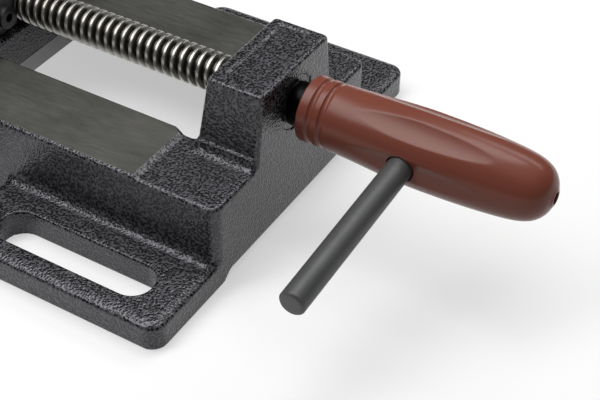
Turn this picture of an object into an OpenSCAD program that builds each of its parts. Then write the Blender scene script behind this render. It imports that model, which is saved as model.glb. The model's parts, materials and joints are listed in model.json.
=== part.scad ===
// Drill press vise: a cast base with four slotted ears, a jaw that slides on two milled ways, and a
// trapezoidal lead screw with a moulded grip and a tommy bar. Millimetres, at real size.
// +X runs along the screw towards the grip, +Z is up, and the origin is the middle of the base's
// underside. The jaws are drawn closed.

/* [Base casting] */
// Width of the base across the ears
base_w = 190; // [184:1:210]
// Width of the raised body between the ears
body_w = 112; // [108:1:118]
// Height of the cast top of the body
cast_h = 38.2; // [36:0.1:44]
// Height of the milled ways above the cast top
way_lift = 0.8; // [0.4:0.1:2]
// Length of cast top between the ways and the grip end
way_stop = 37.4; // [34:0.1:44]
// Opening between the two rails
rail_gap = 44.5; // [40:0.5:48]
// Thickness of the rails that the jaw hooks under
rail_t = 12; // [10:0.5:14]
// Thickness of the body's side walls
wall_t = 7; // [6:0.5:9]
// Thickness of the body's end walls
end_wall_t = 14; // [12:0.5:18]
// Height of the arch under each end wall
foot_arch = 3.5; // [2:0.5:6]
// Length over which the arch rises at each side
arch_ease = 6; // [4:1:10]
// Rounding of the cast edges
cast_edge = 2; // [1:0.25:3]
// Radius of the body's upright corners
body_corner_r = 4.5; // [2.5:0.5:8]
// Widening of the opening between the rails, each side, where it is cast and not milled
cast_gap_step = 1.2; // [0.5:0.1:2]
// Length of the ways that the cast widening reaches under
cast_gap_reach = 3; // [1:0.5:5]
// Radius of the opening's corners beside the nut block
gap_corner_r = 5; // [3:0.5:8]
// Size of the chamfer along the opening's cast edge
gap_chamfer = 2.1; // [1:0.1:3]

/* [Ears] */
// Length of each ear along the body
ear_l = 100; // [90:1:108]
// Thickness of the ears
ear_t = 11.6; // [10:0.2:14]
// Radius of the ears' corners
ear_corner_r = 6.5; // [4:0.5:9]
// Rounding of the ears' upper edge
ear_edge = 0.9; // [0.5:0.1:1.5]
// Fillet between an ear and the body's side
ear_fillet = 4; // [2:0.5:6]
// Width of the clamping slots
slot_w = 17; // [14:0.5:19]
// End to end length of the clamping slots
slot_l = 71; // [56:1:76]
// Metal left outside each slot
slot_rim = 9.5; // [8:0.5:11]

/* [Nut block] */
// Height of the block above the cast top
block_rise = 30.8; // [28:0.2:36]
// Length of the block along the screw at its top
block_top_l = 24.2; // [22:0.2:26]
// Length of the block along the screw at its foot
block_foot_l = 27.5; // [26.5:0.5:32]
// Width of the block at its top
block_top_w = 48; // [44:1:50]
// Width of the block at its foot
block_foot_w = 56; // [52:1:62]
// Rounding of the block's upper edges
block_edge = 3.5; // [2:0.25:4]
// Fillet at the block's foot
block_fillet = 2.5; // [1:0.25:4]

/* [Jaws] */
// Width of the jaws
jaw_w = 100; // [94:1:108]
// Height of the jaws above the ways
jaw_rise = 33; // [30:1:40]
// Length of the fixed jaw behind its plate
fixed_jaw_l = 43; // [36:1:52]
// Lean of the fixed jaw's back, from foot to top
fixed_jaw_lean = 5; // [2:0.5:8]
// Flare of the fixed jaw's sides at the foot
fixed_jaw_flare = 2; // [1:0.25:3]
// Length of the moving jaw behind its plate
moving_jaw_l = 48; // [46:1:60]
// Distance that the moving jaw opens
jaw_travel = 100; // [84:2:120]
// Thickness of the jaw plates
plate_t = 8; // [7:0.5:10]
// Gap between the jaw plates and the ways
plate_lift = 1; // [0.5:0.1:2]
// Depth of the vee grooves in the moving jaw's plate
vee_depth = 2.4; // [1.5:0.1:3]
// Distance of the plate screws from the middle
plate_screw_y = 32; // [28:1:38]
// Thickness of the moving jaw's front wall
jaw_wall = 22; // [18:1:24]
// Thickness of the moving jaw's sole
sole_t = 11; // [9:0.5:13]
// Width of the boss that holds the screw's nose
boss_w = 44; // [40:1:48]
// Height of the boss above the screw's axis
boss_rise = 17; // [12:0.5:18]
// Distance of the moving jaw's ribs from the middle
rib_y = 38; // [34:1:42]
// Thickness of the moving jaw's ribs
rib_t = 8; // [6:0.5:10]
// Distance of the ribs' ends from the jaw's rear and top
rib_inset = 5; // [4:0.5:8]
// Distance of the tongue and the keeper from the jaw's front and rear
tongue_inset = 2; // [1:0.5:4]

/* [Keeper] */
// Thickness of the keeper plate under the rails
keeper_t = 8; // [6:0.5:9]
// Reach of the keeper plate under each rail
keeper_reach = 12; // [9:0.5:15]
// Distance between the keeper bolts
keeper_bolt_gap = 22; // [18:1:24]

/* [Lead screw] */
// Height of the screw above the ways
screw_rise = 13.5; // [13:0.1:15]
// Outside diameter of the thread
screw_d = 16; // [14:0.5:17]
// Pitch of the thread
screw_pitch = 4; // [3.5:0.1:4.5]
// Diameter of the shoulder at the grip end
shoulder_d = 17.6; // [17.2:0.1:19]
// Diameter of the shank inside the grip
shank_d = 16; // [15:0.1:16.6]
// Length of the shank
shank_l = 86; // [77:1:90]
// Diameter of the nose inside the moving jaw
nose_d = 12; // [11:0.1:12.8]
// Length of the nose beyond its groove
nose_l = 17; // [14:0.5:18]
// Diameter of the groove in the nose
groove_d = 8.4; // [7.5:0.1:9]
// Outside diameter of the nut
nut_d = 26; // [24:0.5:28]
// Diameter of the nut's smaller end
nut_neck_d = 22; // [20.5:0.5:23]
// Length of the nut's smaller end
nut_neck_l = 7; // [5:0.5:9]

/* [Grip and bar] */
// Gap between the nut block and the grip
grip_gap = 7; // [5:0.5:9]
// Length of the grip
grip_l = 98.5; // [94:0.5:108]
// Largest radius of the grip
grip_r = 14.8; // [14:0.1:16.5]
// Radius where the barrel leaves the bands
barrel_start_r = 13; // [12.6:0.1:14]
// Radius of the two bands beside the nut block
band_r = 12.95; // [12.5:0.05:14]
// Depth of the grooves beside the bands
band_groove = 0.75; // [0.4:0.05:1]
// Place of the grip's widest point along its length
grip_widest = 47; // [44:1:56]
// Radius of the flutes' hollow
flute_r = 16; // [12:0.5:24]
// Length of the flutes
flute_l = 56; // [50:1:60]
// Place of the flutes' middle along the grip
flute_at = 49.2; // [47:0.1:52]
// Number of flutes round the barrel
flute_count = 6; // [4:1:8]
// Turn of the first flute from straight up, towards the near side
flute_turn = 31; // [0:1:59]
// Diameter of the hole in the grip's tip
tip_hole_d = 4.6; // [4:0.2:6]
// Diameter of the tommy bar
bar_d = 10; // [9:0.1:10.6]
// Length of the tommy bar
bar_l = 100; // [90:1:120]
// Reach of the bar's end from the screw's axis
bar_reach = 88.2; // [70:0.1:95]
// Place of the bar along the grip
bar_at = 44.2; // [41:0.1:49]
// Tilt of the bar below level
bar_tilt = 3.7; // [0:0.1:12]
// Hole in the grip, wider than the bar by
bar_hole_slack = 1.2; // [0.6:0.1:1.6]

/* [Fasteners] */
// Diameter of the plate screws and keeper bolts
bolt_d = 8; // [6.5:0.5:8.5]
// Length of the plate screws
plate_screw_l = 26; // [22:1:28]
// Length of the keeper bolts under the head
keeper_bolt_l = 26; // [22:1:27]
// Thickness of the retainer plate
retainer_t = 5; // [4:0.5:6]
// Width of the retainer plate
retainer_w = 40; // [38:1:44]
// Diameter of the retainer screws and the nut's lock screw
small_screw_d = 6; // [5:0.5:6.5]
// Length of the retainer screws
retainer_screw_l = 15; // [12:1:17]
// Distance of the retainer screws from the middle
retainer_screw_y = 13; // [12:0.5:14]
// Length of the nut's lock screw
lock_screw_l = 10; // [8:1:11]
// Thickness of the thrust pad in front of the nose
thrust_pad_t = 4; // [3:0.5:5]

/* [Fits] */
// Gap round parts that turn or slide in a hole
running_gap = 0.05; // [0.02:0.01:0.08]
// Gap between the sliding faces of the jaw and the base
slide_gap = 0.3; // [0.2:0.05:0.5]
// Gap between the closed jaw plates
jaw_gap = 0.2; // [0.1:0.05:0.5]
// Gap between the open jaw and the nut block
stop_gap = 1.3; // [1:0.1:3]
// Gap between the threads of screw and nut
thread_gap = 0.35; // [0.3:0.01:0.4]
// Gap round fixed parts in their seats
seat_gap = 0.03; // [0.01:0.01:0.06]

/* [Hidden] */

// Lengths along the screw
base_l = fixed_jaw_l + 2 * plate_t + jaw_gap + moving_jaw_l + jaw_travel + stop_gap + block_foot_l;
end_x = base_l / 2;
fixed_seat_x = fixed_jaw_l - end_x;
fixed_face_x = fixed_seat_x + plate_t;
moving_seat_x = fixed_face_x + jaw_gap + plate_t;
moving_rear_x = moving_seat_x + moving_jaw_l;
block_foot_x = end_x - block_foot_l;
block_top_x = end_x - block_top_l;
way_end_x = end_x - way_stop;

// Heights
way_h = cast_h + way_lift;
rail_under_h = way_h - rail_t;
block_h = cast_h + block_rise;
jaw_h = way_h + jaw_rise;
screw_z = way_h + screw_rise;
sole_z = way_h + slide_gap;
keeper_top_z = rail_under_h - slide_gap;
keeper_under_z = keeper_top_z - keeper_t;
plate_z = way_h + plate_lift;
plate_h = jaw_h - plate_z;
plate_screw_z = plate_z + plate_h / 2;

// Widths
inner_w = body_w - 2 * wall_t;
slot_y = base_w / 2 - slot_rim - slot_w / 2;
slot_x = end_x - ear_l / 2;
tongue_w = rail_gap - 2 * slide_gap;

// Fasteners, in the proportions of metric screws
head_d = 2 * bolt_d;
head_h = head_d / 2 - bolt_d / 2;
head_sink = 0.2;
tip_room = 0.5;
hex_flats = 1.6 * bolt_d;
hex_h = 0.66 * bolt_d;
washer_d = 2 * bolt_d;
washer_t = 0.2 * bolt_d;
lock_washer_d = 1.75 * bolt_d;
lock_washer_t = 0.25 * bolt_d;
cap_head_d = 1.6 * small_screw_d;
cap_head_h = 0.65 * small_screw_d;
key_share = 0.6;
hex_corner = 2 / sqrt(3);

// The screw's nose, its groove and the retainer that holds it
screw_head_room = cap_head_h + 0.5;
boss_rear_x = moving_rear_x - screw_head_room - retainer_t;
groove_gap = 0.3;
groove_start_x = boss_rear_x - groove_gap;
groove_end_x = boss_rear_x + retainer_t + groove_gap;
nose_end_x = groove_start_x - nose_l;
pad_front_x = nose_end_x - thrust_pad_t - seat_gap;
retainer_z = screw_z - groove_d;
retainer_h = 2.2 * groove_d;
retainer_room = 0.5;
boss_draft = 1;
jaw_wall_lean = 2;

// Trapezoidal thread: crest and root flats, and the depth of the groove
crest_w = 0.366 * screw_pitch;
tooth_foot_w = 0.668 * screw_pitch;
thread_depth = 0.5625 * screw_pitch;
root_r = screw_d / 2 - thread_depth;
thread_steps = 24;
thread_overlap = 0.4;
shoulder_x = end_x + 0.5;
thread_start_x = groove_end_x;
thread_end_x = shoulder_x + thread_overlap;
thread_turns = floor((thread_end_x - thread_start_x - tooth_foot_w - 4 * thread_overlap) / screw_pitch);
thread_rest = thread_end_x - thread_start_x - thread_turns * screw_pitch - tooth_foot_w;
thread_x = thread_start_x + thread_rest / 2 + tooth_foot_w / 2;

// The nut in its stepped seat, pushed in from the jaw's side
block_slope = (block_foot_l - block_top_l) / block_rise;
nut_start_x = block_foot_x + block_slope * (screw_z + nut_d / 2 - cast_h) + 0.5;
nut_end_x = end_x - 0.4;
nut_step_x = nut_end_x - nut_neck_l;
nut_l = nut_end_x - nut_start_x;
lock_screw_x = (nut_start_x + nut_step_x) / 2;
tap_first_turn = floor((nut_start_x - thread_x) / screw_pitch) - 2;
tap_turns = ceil(nut_l / screw_pitch) + 4;

// The grip along the screw, measured from its end beside the nut block
grip_x = end_x + grip_gap;
bar_x = grip_x + bar_at;
shank_start_x = grip_x - 1;
shank_end_x = shank_start_x + shank_l;
grip_bevel = 0.5;
groove_1 = [5.1, 1.15];
groove_2 = [10, 1.25];
barrel_x = 11.3;
nose_taper = 3.3;
nose_power = 12;
tip_rim = 0.8;
bar_bevel = 0.8;

// A quarter circle's steps in the rounded castings
round_steps = 4;
// Upright corners of a drafted block are rounder than its upper edge by this
corner_extra = 0.5;
// Cuts reach past the faces that they open by this
cut = 1;

// Small helpers

// A hexagon's corner diameter from its width across flats
function across_corners(flats) = flats * hex_corner;

// Points along an arc
function arc(centre, r, from, to) = [
    for (k = [0 : round_steps])
        let (a = from + (to - from) * k / round_steps)
            [centre[0] + r * cos(a), centre[1] + r * sin(a)]
];

// Outline of a rectangle with rounded corners, between two corner points
function rounded_rect(low, high, r) = concat(
    arc([high[0] - r, low[1] + r], r, -90, 0),
    arc([high[0] - r, high[1] - r], r, 0, 90),
    arc([low[0] + r, high[1] - r], r, 90, 180),
    arc([low[0] + r, low[1] + r], r, 180, 270)
);

// Side view of an upright slab with rounded upper corners
function domed_outline(low, high, z0, z1, r) = concat(
    [[low, z0], [high, z0]],
    arc([high - r, z1 - r], r, 0, 90),
    arc([low + r, z1 - r], r, 90, 180)
);

// An upright slab with rounded corners and a rounded upper edge
module cast_slab(x0, x1, half_w, z0, z1, corner_r, edge_r) {
    intersection() {
        translate([0, 0, z0])
            linear_extrude(z1 - z0)
                polygon(rounded_rect([x0, -half_w], [x1, half_w], corner_r));
        translate([0, half_w + cut, 0])
            rotate([90, 0, 0])
                linear_extrude(2 * half_w + 2 * cut)
                    polygon(domed_outline(x0, x1, z0, z1, edge_r));
        translate([x0 - cut, 0, 0])
            rotate([90, 0, 90])
                linear_extrude(x1 - x0 + 2 * cut)
                    polygon(domed_outline(-half_w, half_w, z0, z1, edge_r));
    }
}

// A block with drafted sides, rounded corners and a rounded upper edge: rings of points, each a
// rounded rectangle, from the foot to the top. foot and top are [low x, high x, half width].
module cast_block(foot, top, z0, z1, edge_r) {
    corner_r = edge_r + corner_extra;
    foot_ring = [
        for (q = rounded_rect([foot[0], -foot[2]], [foot[1], foot[2]], corner_r)) [q[0], q[1], z0]
    ];
    upper_rings = [
        for (step = [0 : round_steps])
            let (
                a = 90 * step / round_steps,
                inset = edge_r * (1 - cos(a)),
                z = z1 - edge_r + edge_r * sin(a),
                low = [top[0] + inset, inset - top[2]],
                high = [top[1] - inset, top[2] - inset]
            )
                for (q = rounded_rect(low, high, corner_r - inset)) [q[0], q[1], z]
    ];
    m = len(foot_ring);
    top_ring = (round_steps + 1) * m;
    walls = [
        for (ring = [0 : round_steps])
            for (j = [0 : m - 1])
                let (a = ring * m + j, b = ring * m + (j + 1) % m)
                    each [[a, a + m, b + m], [a, b + m, b]]
    ];
    caps = [[for (j = [0 : m - 1]) j], [for (j = [0 : m - 1]) top_ring + m - 1 - j]];
    polyhedron(points = concat(foot_ring, upper_rings), faces = concat(walls, caps));
}

// A box from its low and high corners
module span_box(low, high) {
    translate(low) cube(high - low);
}

// A cylinder along X from one place to another
module x_rod(x0, x1, r, y = 0, z = screw_z) {
    translate([x0, y, z]) rotate([0, 90, 0]) cylinder(r = r, h = x1 - x0, $fn = 64);
}

// A concave fillet along X, in the corner at (y, z) between a wall that faces side and a floor
module x_fillet(x0, x1, y, z, r, side) {
    hollow = [for (a = [0 : 15 : 90]) [side * (r - r * sin(a)), r - r * cos(a)]];
    root = [[side * -cut, -cut], [side * r, -cut]];
    outline = concat(root, hollow, [[side * -cut, r]]);
    translate([x0, y, z])
        rotate([90, 0, 90])
            linear_extrude(x1 - x0)
                polygon(outline);
}

// A slot through the full height, with round ends, running along X
module slot_cut(x, y, l, w, z0, z1) {
    half = (l - w) / 2;
    for (end = [-half, half])
        translate([x + end, y, z0]) cylinder(d = w, h = z1 - z0, $fn = 64);
    span_box([x - half, y - w / 2, z0], [x + half, y + w / 2, z1]);
}

// A countersunk screw along X, pointing to -X or +X, with its head sunk below the face at x
module countersunk_screw(x, y, z, toward) {
    translate([x + toward * head_sink, y, z]) rotate([0, 90 * toward, 0]) {
        cylinder(d1 = head_d, d2 = bolt_d, h = head_h, $fn = 64);
        cylinder(d = bolt_d, h = plate_screw_l - head_sink, $fn = 64);
    }
}

// The hole for that screw, with room for its head
module countersunk_hole(x, y, z, toward) {
    grown_head = head_d + 2 * seat_gap;
    grown_shank = bolt_d + 2 * seat_gap;
    translate([x, y, z]) rotate([0, 90 * toward, 0]) {
        translate([0, 0, -cut]) cylinder(d = grown_head, h = cut + head_sink, $fn = 64);
        translate([0, 0, head_sink]) cylinder(d1 = grown_head, d2 = grown_shank, h = head_h, $fn = 64);
        cylinder(d = grown_shank, h = plate_screw_l + tip_room, $fn = 64);
    }
}

// A hexagonal key recess along Z, with its mouth at the origin
module key_recess(d, depth) {
    translate([0, 0, -depth]) cylinder(d = across_corners(d * key_share), h = depth + cut, $fn = 6);
}

// A threaded rod along X. A helix carries a trapezoid with its foot on the root radius, and flat
// rings close both ends.
module threaded_rod(x0, turns, lead, foot_w, tip_w, foot_r, tip_r) {
    n = thread_steps;
    last = turns * n;
    offsets = [-foot_w / 2, -tip_w / 2, tip_w / 2, foot_w / 2];
    radii = [foot_r, tip_r, tip_r, foot_r];
    helix = [
        for (i = [0 : last])
            for (p = [0 : 3])
                let (a = 360 * i / n)
                    [x0 + screw_pitch * i / n + offsets[p], radii[p] * cos(a), radii[p] * sin(a)]
    ];
    end_x0 = x0 - foot_w / 2 - lead;
    end_x1 = x0 + screw_pitch * turns + foot_w / 2 + lead;
    rings = [
        for (x = [end_x0, end_x1])
            for (j = [0 : n - 1])
                [x, foot_r * cos(360 * j / n), foot_r * sin(360 * j / n)]
    ];
    first_ring = 4 * (last + 1);
    last_ring = first_ring + n;
    function at(i, p) = 4 * i + p;
    function quad(a, b, c, d) = [[a, b, c], [a, c, d]];
    function fan(tip, rim) = [for (k = [0 : len(rim) - 2]) [tip, rim[k], rim[k + 1]]];
    tooth = [
        for (i = [0 : last - 1])
            for (p = [0 : 2])
                each quad(at(i, p), at(i, p + 1), at(i + 1, p + 1), at(i + 1, p))
    ];
    root = [
        for (i = [0 : last - n - 1])
            each quad(at(i, 3), at(i + n, 0), at(i + n + 1, 0), at(i + 1, 3))
    ];
    start_wedge = [
        for (j = [0 : n - 2])
            each quad(first_ring + j, at(j, 0), at(j + 1, 0), first_ring + j + 1)
    ];
    start_rim = [at(n, 0), at(0, 3), at(0, 0), first_ring, first_ring + n - 1];
    start_seam = fan(at(n - 1, 0), start_rim);
    end_turn = last - n;
    end_wedge = [
        for (j = [1 : n - 1])
            each quad(at(end_turn + j, 3), last_ring + j, last_ring + (j + 1) % n, at(end_turn + j + 1, 3))
    ];
    end_rim = [at(end_turn, 3), at(last, 0), at(last, 3), last_ring, last_ring + 1];
    end_seam = fan(at(end_turn + 1, 3), end_rim);
    flanks = concat(
        quad(at(0, 3), at(0, 2), at(0, 1), at(0, 0)),
        quad(at(last, 0), at(last, 1), at(last, 2), at(last, 3))
    );
    caps = [
        [for (j = [0 : n - 1]) first_ring + j],
        [for (j = [0 : n - 1]) last_ring + n - 1 - j]
    ];
    translate([0, 0, screw_z])
        polyhedron(
            points = concat(helix, rings),
            faces = concat(tooth, root, start_wedge, start_seam, end_wedge, end_seam, flanks, caps)
        );
}

// Base

// The drafted block on the base that carries the nut
module nut_block() {
    cast_block(
        [block_foot_x, end_x, block_foot_w / 2],
        [block_top_x, end_x, block_top_w / 2],
        cast_h - cut, block_h, block_edge
    );
    for (side = [-1, 1])
        x_fillet(block_top_x, end_x - cast_edge, side * block_foot_w / 2, cast_h, block_fillet, side);
}

// The fixed jaw, drafted at its back and sides and cut flat for its plate
module fixed_jaw() {
    difference() {
        cast_block(
            [-end_x, fixed_face_x, jaw_w / 2 + fixed_jaw_flare],
            [-end_x + fixed_jaw_lean, fixed_face_x, jaw_w / 2],
            cast_h - cut, jaw_h, block_edge
        );
        span_box([fixed_seat_x, -jaw_w, way_h], [fixed_face_x + cut, jaw_w, jaw_h + cut]);
    }
}

// Opening between the rails, cast wider and with eased edges beside the nut block
module rail_opening() {
    cast_x = way_end_x - cast_gap_reach;
    half_w = rail_gap / 2 + cast_gap_step;
    corner_x = block_foot_x - gap_corner_r;
    corner_y = half_w - gap_corner_r;
    chamfer_side = gap_chamfer * sqrt(2);
    span_box([fixed_seat_x, -rail_gap / 2, -cut], [cast_x + cut, rail_gap / 2, jaw_h]);
    span_box([cast_x, -half_w, -cut], [corner_x, half_w, jaw_h]);
    span_box([cast_x, -corner_y, -cut], [block_foot_x, corner_y, jaw_h]);
    for (side = [-1, 1]) {
        translate([corner_x, side * corner_y, -cut])
            cylinder(r = gap_corner_r, h = jaw_h, $fn = 48);
        translate([cast_x, side * half_w, way_h])
            rotate([45, 0, 0])
                translate([0, -chamfer_side / 2, -chamfer_side / 2])
                    cube([block_foot_x - cast_x, chamfer_side, chamfer_side]);
    }
}

// One side of the arch's outline, rising from the floor
function arch_side(side) = [
    for (k = [0 : 6])
        [side * (inner_w / 2 + arch_ease * (0.5 - k / 6)), foot_arch * swell(k / 6)]
];

// The low arch under both end walls
module foot_arches() {
    far_side = arch_side(1);
    floor_y = far_side[0][0];
    outline = concat(
        [[floor_y, -cut], [-floor_y, -cut]],
        arch_side(-1),
        [for (k = [6 : -1 : 0]) far_side[k]]
    );
    translate([-end_x - cut, 0, 0])
        rotate([90, 0, 90])
            linear_extrude(base_l + 2 * cut)
                polygon(outline);
}

// The base casting: body, ears, ways, nut block and fixed jaw in one piece of iron
module base_casting() {
    color("#2c2d30") difference() {
        union() {
            difference() {
                union() {
                    cast_slab(-end_x, end_x, body_w / 2, 0, cast_h, body_corner_r, cast_edge);
                    span_box(
                        [fixed_seat_x - cut, -body_w / 2, cast_h - cast_edge - cut],
                        [way_end_x, body_w / 2, way_h]
                    );
                }
                rail_opening();
            }
            for (end = [-1, 1]) {
                ear_x = end * slot_x;
                cast_slab(ear_x - ear_l / 2, ear_x + ear_l / 2, base_w / 2, 0, ear_t, ear_corner_r, ear_edge);
                for (side = [-1, 1])
                    x_fillet(
                        ear_x - ear_l / 2 + body_corner_r, ear_x + ear_l / 2 - body_corner_r,
                        side * body_w / 2, ear_t, ear_fillet, side
                    );
            }
            nut_block();
            fixed_jaw();
        }
        span_box(
            [-end_x + end_wall_t, -inner_w / 2, -cut],
            [end_x - end_wall_t, inner_w / 2, rail_under_h]
        );
        foot_arches();
        for (end = [-1, 1])
            for (side = [-1, 1])
                slot_cut(end * slot_x, side * slot_y, slot_l, slot_w, -cut, ear_t + cut);
        x_rod(block_foot_x - cut, nut_step_x, nut_d / 2 + seat_gap);
        x_rod(nut_step_x - cut, end_x + cut, nut_neck_d / 2 + seat_gap);
        translate([lock_screw_x, 0, screw_z])
            rotate([-90, 0, 0])
                cylinder(d = small_screw_d + 2 * seat_gap, h = block_foot_w, $fn = 48);
        for (side = [-1, 1])
            countersunk_hole(fixed_face_x, side * plate_screw_y, plate_screw_z, -1);
    }
}

// The threaded nut, stepped so that clamping pulls it against its seat
module screw_nut() {
    color("#8a7a4a") difference() {
        union() {
            x_rod(nut_start_x, nut_step_x - seat_gap, nut_d / 2);
            x_rod(nut_step_x - cut, nut_end_x, nut_neck_d / 2);
        }
        threaded_rod(
            thread_x + tap_first_turn * screw_pitch, tap_turns, cut,
            tooth_foot_w + 2 * thread_gap, crest_w + 2 * thread_gap,
            root_r + thread_gap, screw_d / 2 + thread_gap
        );
    }
}

// The grub screw that keeps the nut from turning, on the block's far side
module nut_lock_screw() {
    tip_y = nut_d / 2 + seat_gap;
    color("#35363a") translate([lock_screw_x, tip_y, screw_z]) rotate([-90, 0, 0]) difference() {
        cylinder(d = small_screw_d, h = lock_screw_l, $fn = 48);
        translate([0, 0, lock_screw_l]) key_recess(small_screw_d * 0.9, small_screw_d * 0.6);
    }
}

// Jaw plates

// A plate with its two countersunk holes, between its seat and its gripping face
module jaw_plate(seat_x, face_x) {
    toward = face_x > seat_x ? -1 : 1;
    difference() {
        span_box(
            [min(seat_x, face_x), -jaw_w / 2, plate_z],
            [max(seat_x, face_x), jaw_w / 2, jaw_h]
        );
        for (side = [-1, 1])
            countersunk_hole(face_x, side * plate_screw_y, plate_screw_z, toward);
    }
}

// The plate on the fixed jaw
module fixed_jaw_plate() {
    color("#6f7174") jaw_plate(fixed_seat_x + seat_gap, fixed_face_x);
}

// The plate on the moving jaw, with one level and one upright vee for round work
module moving_jaw_plate() {
    face_x = moving_seat_x - plate_t;
    vee_w = vee_depth * sqrt(2);
    color("#6f7174") difference() {
        jaw_plate(moving_seat_x - seat_gap, face_x);
        translate([face_x, 0, plate_screw_z])
            rotate([0, 45, 0])
                cube([vee_w, jaw_w + 2 * cut, vee_w], center = true);
        translate([face_x, 0, plate_screw_z])
            rotate([0, 0, 45])
                cube([vee_w, vee_w, jaw_rise * 2], center = true);
    }
}

// The two screws of one plate
module plate_screws(face_x, toward) {
    for (side = [-1, 1])
        difference() {
            countersunk_screw(face_x, side * plate_screw_y, plate_screw_z, toward);
            translate([face_x + toward * head_sink, side * plate_screw_y, plate_screw_z])
                rotate([0, -90 * toward, 0])
                    key_recess(bolt_d, bolt_d * 0.45);
        }
}

// Screws of the fixed jaw's plate
module fixed_plate_screws() {
    color("#3b3c40") plate_screws(fixed_face_x, -1);
}

// Screws of the moving jaw's plate
module moving_plate_screws() {
    color("#3b3c40") plate_screws(moving_seat_x - plate_t, 1);
}

// Moving jaw

// A sloping rib from the front wall down to the sole
module jaw_rib(y) {
    foot_z = sole_z + sole_t - cut;
    wall_x = moving_seat_x + jaw_wall - jaw_wall_lean - cut;
    outline = [
        [wall_x, foot_z],
        [moving_rear_x - rib_inset, foot_z],
        [wall_x, jaw_h - rib_inset]
    ];
    translate([0, y + rib_t / 2, 0])
        rotate([90, 0, 0])
            linear_extrude(rib_t)
                polygon(outline);
}

// The moving jaw casting: front wall, sole, ribs, screw boss and the tongue between the rails
module moving_jaw() {
    seat_x = moving_seat_x;
    stock_x = seat_x - 2 * block_edge;
    wall_x = seat_x + jaw_wall;
    bolt_depth = keeper_bolt_l - keeper_t - washer_t - lock_washer_t;
    color("#2c2d30") difference() {
        union() {
            cast_slab(stock_x, moving_rear_x, jaw_w / 2, sole_z, sole_z + sole_t, cast_edge, cast_edge);
            cast_block(
                [stock_x, wall_x, jaw_w / 2], [stock_x, wall_x - jaw_wall_lean, jaw_w / 2],
                sole_z, jaw_h, block_edge
            );
            cast_block(
                [seat_x + cut, boss_rear_x, boss_w / 2], [seat_x + cut, boss_rear_x, boss_w / 2 - boss_draft],
                sole_z, screw_z + boss_rise, cast_edge
            );
            for (side = [-1, 1])
                jaw_rib(side * rib_y);
            span_box(
                [seat_x + tongue_inset, -tongue_w / 2, keeper_top_z],
                [moving_rear_x - tongue_inset, tongue_w / 2, sole_z + cut]
            );
        }
        span_box([stock_x - cut, -jaw_w, sole_z - cut], [seat_x, jaw_w, jaw_h + cut]);
        span_box(
            [boss_rear_x, -retainer_w / 2 - retainer_room, retainer_z - retainer_room],
            [moving_rear_x + cut, retainer_w / 2 + retainer_room, jaw_h]
        );
        x_rod(pad_front_x, boss_rear_x + cut, nose_d / 2 + running_gap);
        for (side = [-1, 1]) {
            countersunk_hole(seat_x - plate_t, side * plate_screw_y, plate_screw_z, 1);
            x_rod(
                boss_rear_x + retainer_t - retainer_screw_l - tip_room, boss_rear_x + cut,
                small_screw_d / 2 + seat_gap, side * retainer_screw_y
            );
        }
        for (x = keeper_bolt_xs())
            translate([x, 0, keeper_top_z - cut])
                cylinder(d = bolt_d + 2 * seat_gap, h = bolt_depth + cut + tip_room, $fn = 48);
    }
}

// The hardened pad that the nose pushes on
module thrust_pad() {
    color("#9a9b9d") x_rod(pad_front_x + seat_gap, nose_end_x - running_gap, nose_d / 2);
}

// The plate that hooks into the screw's groove, so that the screw can pull the jaw back
module retainer_plate() {
    slot = groove_d / 2 + groove_gap;
    cut_x0 = boss_rear_x - cut;
    cut_x1 = boss_rear_x + retainer_t + cut;
    color("#77787b") difference() {
        span_box(
            [boss_rear_x + seat_gap, -retainer_w / 2, retainer_z],
            [boss_rear_x + retainer_t, retainer_w / 2, retainer_z + retainer_h]
        );
        x_rod(cut_x0, cut_x1, slot);
        span_box([cut_x0, -slot, retainer_z - cut], [cut_x1, slot, screw_z]);
        for (side = [-1, 1])
            x_rod(cut_x0, cut_x1, small_screw_d / 2 + seat_gap, side * retainer_screw_y);
    }
}

// The two cap screws of the retainer plate
module retainer_screws() {
    head_x = boss_rear_x + retainer_t + seat_gap;
    color("#3b3c40") for (side = [-1, 1])
        difference() {
            union() {
                x_rod(head_x, head_x + cap_head_h, cap_head_d / 2, side * retainer_screw_y);
                x_rod(head_x - retainer_screw_l, head_x + cut, small_screw_d / 2, side * retainer_screw_y);
            }
            translate([head_x + cap_head_h, side * retainer_screw_y, screw_z])
                rotate([0, 90, 0])
                    key_recess(small_screw_d, cap_head_h * 0.6);
        }
}

// Keeper

// Places of the keeper bolts along the screw
function keeper_bolt_xs() =
    let (middle = moving_seat_x + moving_jaw_l / 2)
        [middle - keeper_bolt_gap / 2, middle + keeper_bolt_gap / 2];

// A round washer under the keeper plate, with its upper face at z
module washer(x, z, d, t) {
    translate([x, 0, z - t]) difference() {
        cylinder(d = d, h = t, $fn = 48);
        translate([0, 0, -cut]) cylinder(d = bolt_d + 4 * seat_gap, h = t + 2 * cut, $fn = 48);
    }
}

// The plate that hooks the jaw under both rails
module keeper_plate() {
    half_w = rail_gap / 2 + keeper_reach;
    color("#6a6b6e") difference() {
        span_box(
            [moving_seat_x + tongue_inset, -half_w, keeper_under_z],
            [moving_rear_x - tongue_inset, half_w, keeper_top_z - seat_gap]
        );
        for (x = keeper_bolt_xs())
            translate([x, 0, keeper_under_z - cut])
                cylinder(d = bolt_d + 4 * seat_gap, h = keeper_t + 2 * cut, $fn = 48);
    }
}

// Flat washers of the keeper bolts
module keeper_flat_washers() {
    color("#8d8e90") for (x = keeper_bolt_xs())
        washer(x, keeper_under_z - seat_gap, washer_d, washer_t);
}

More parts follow.
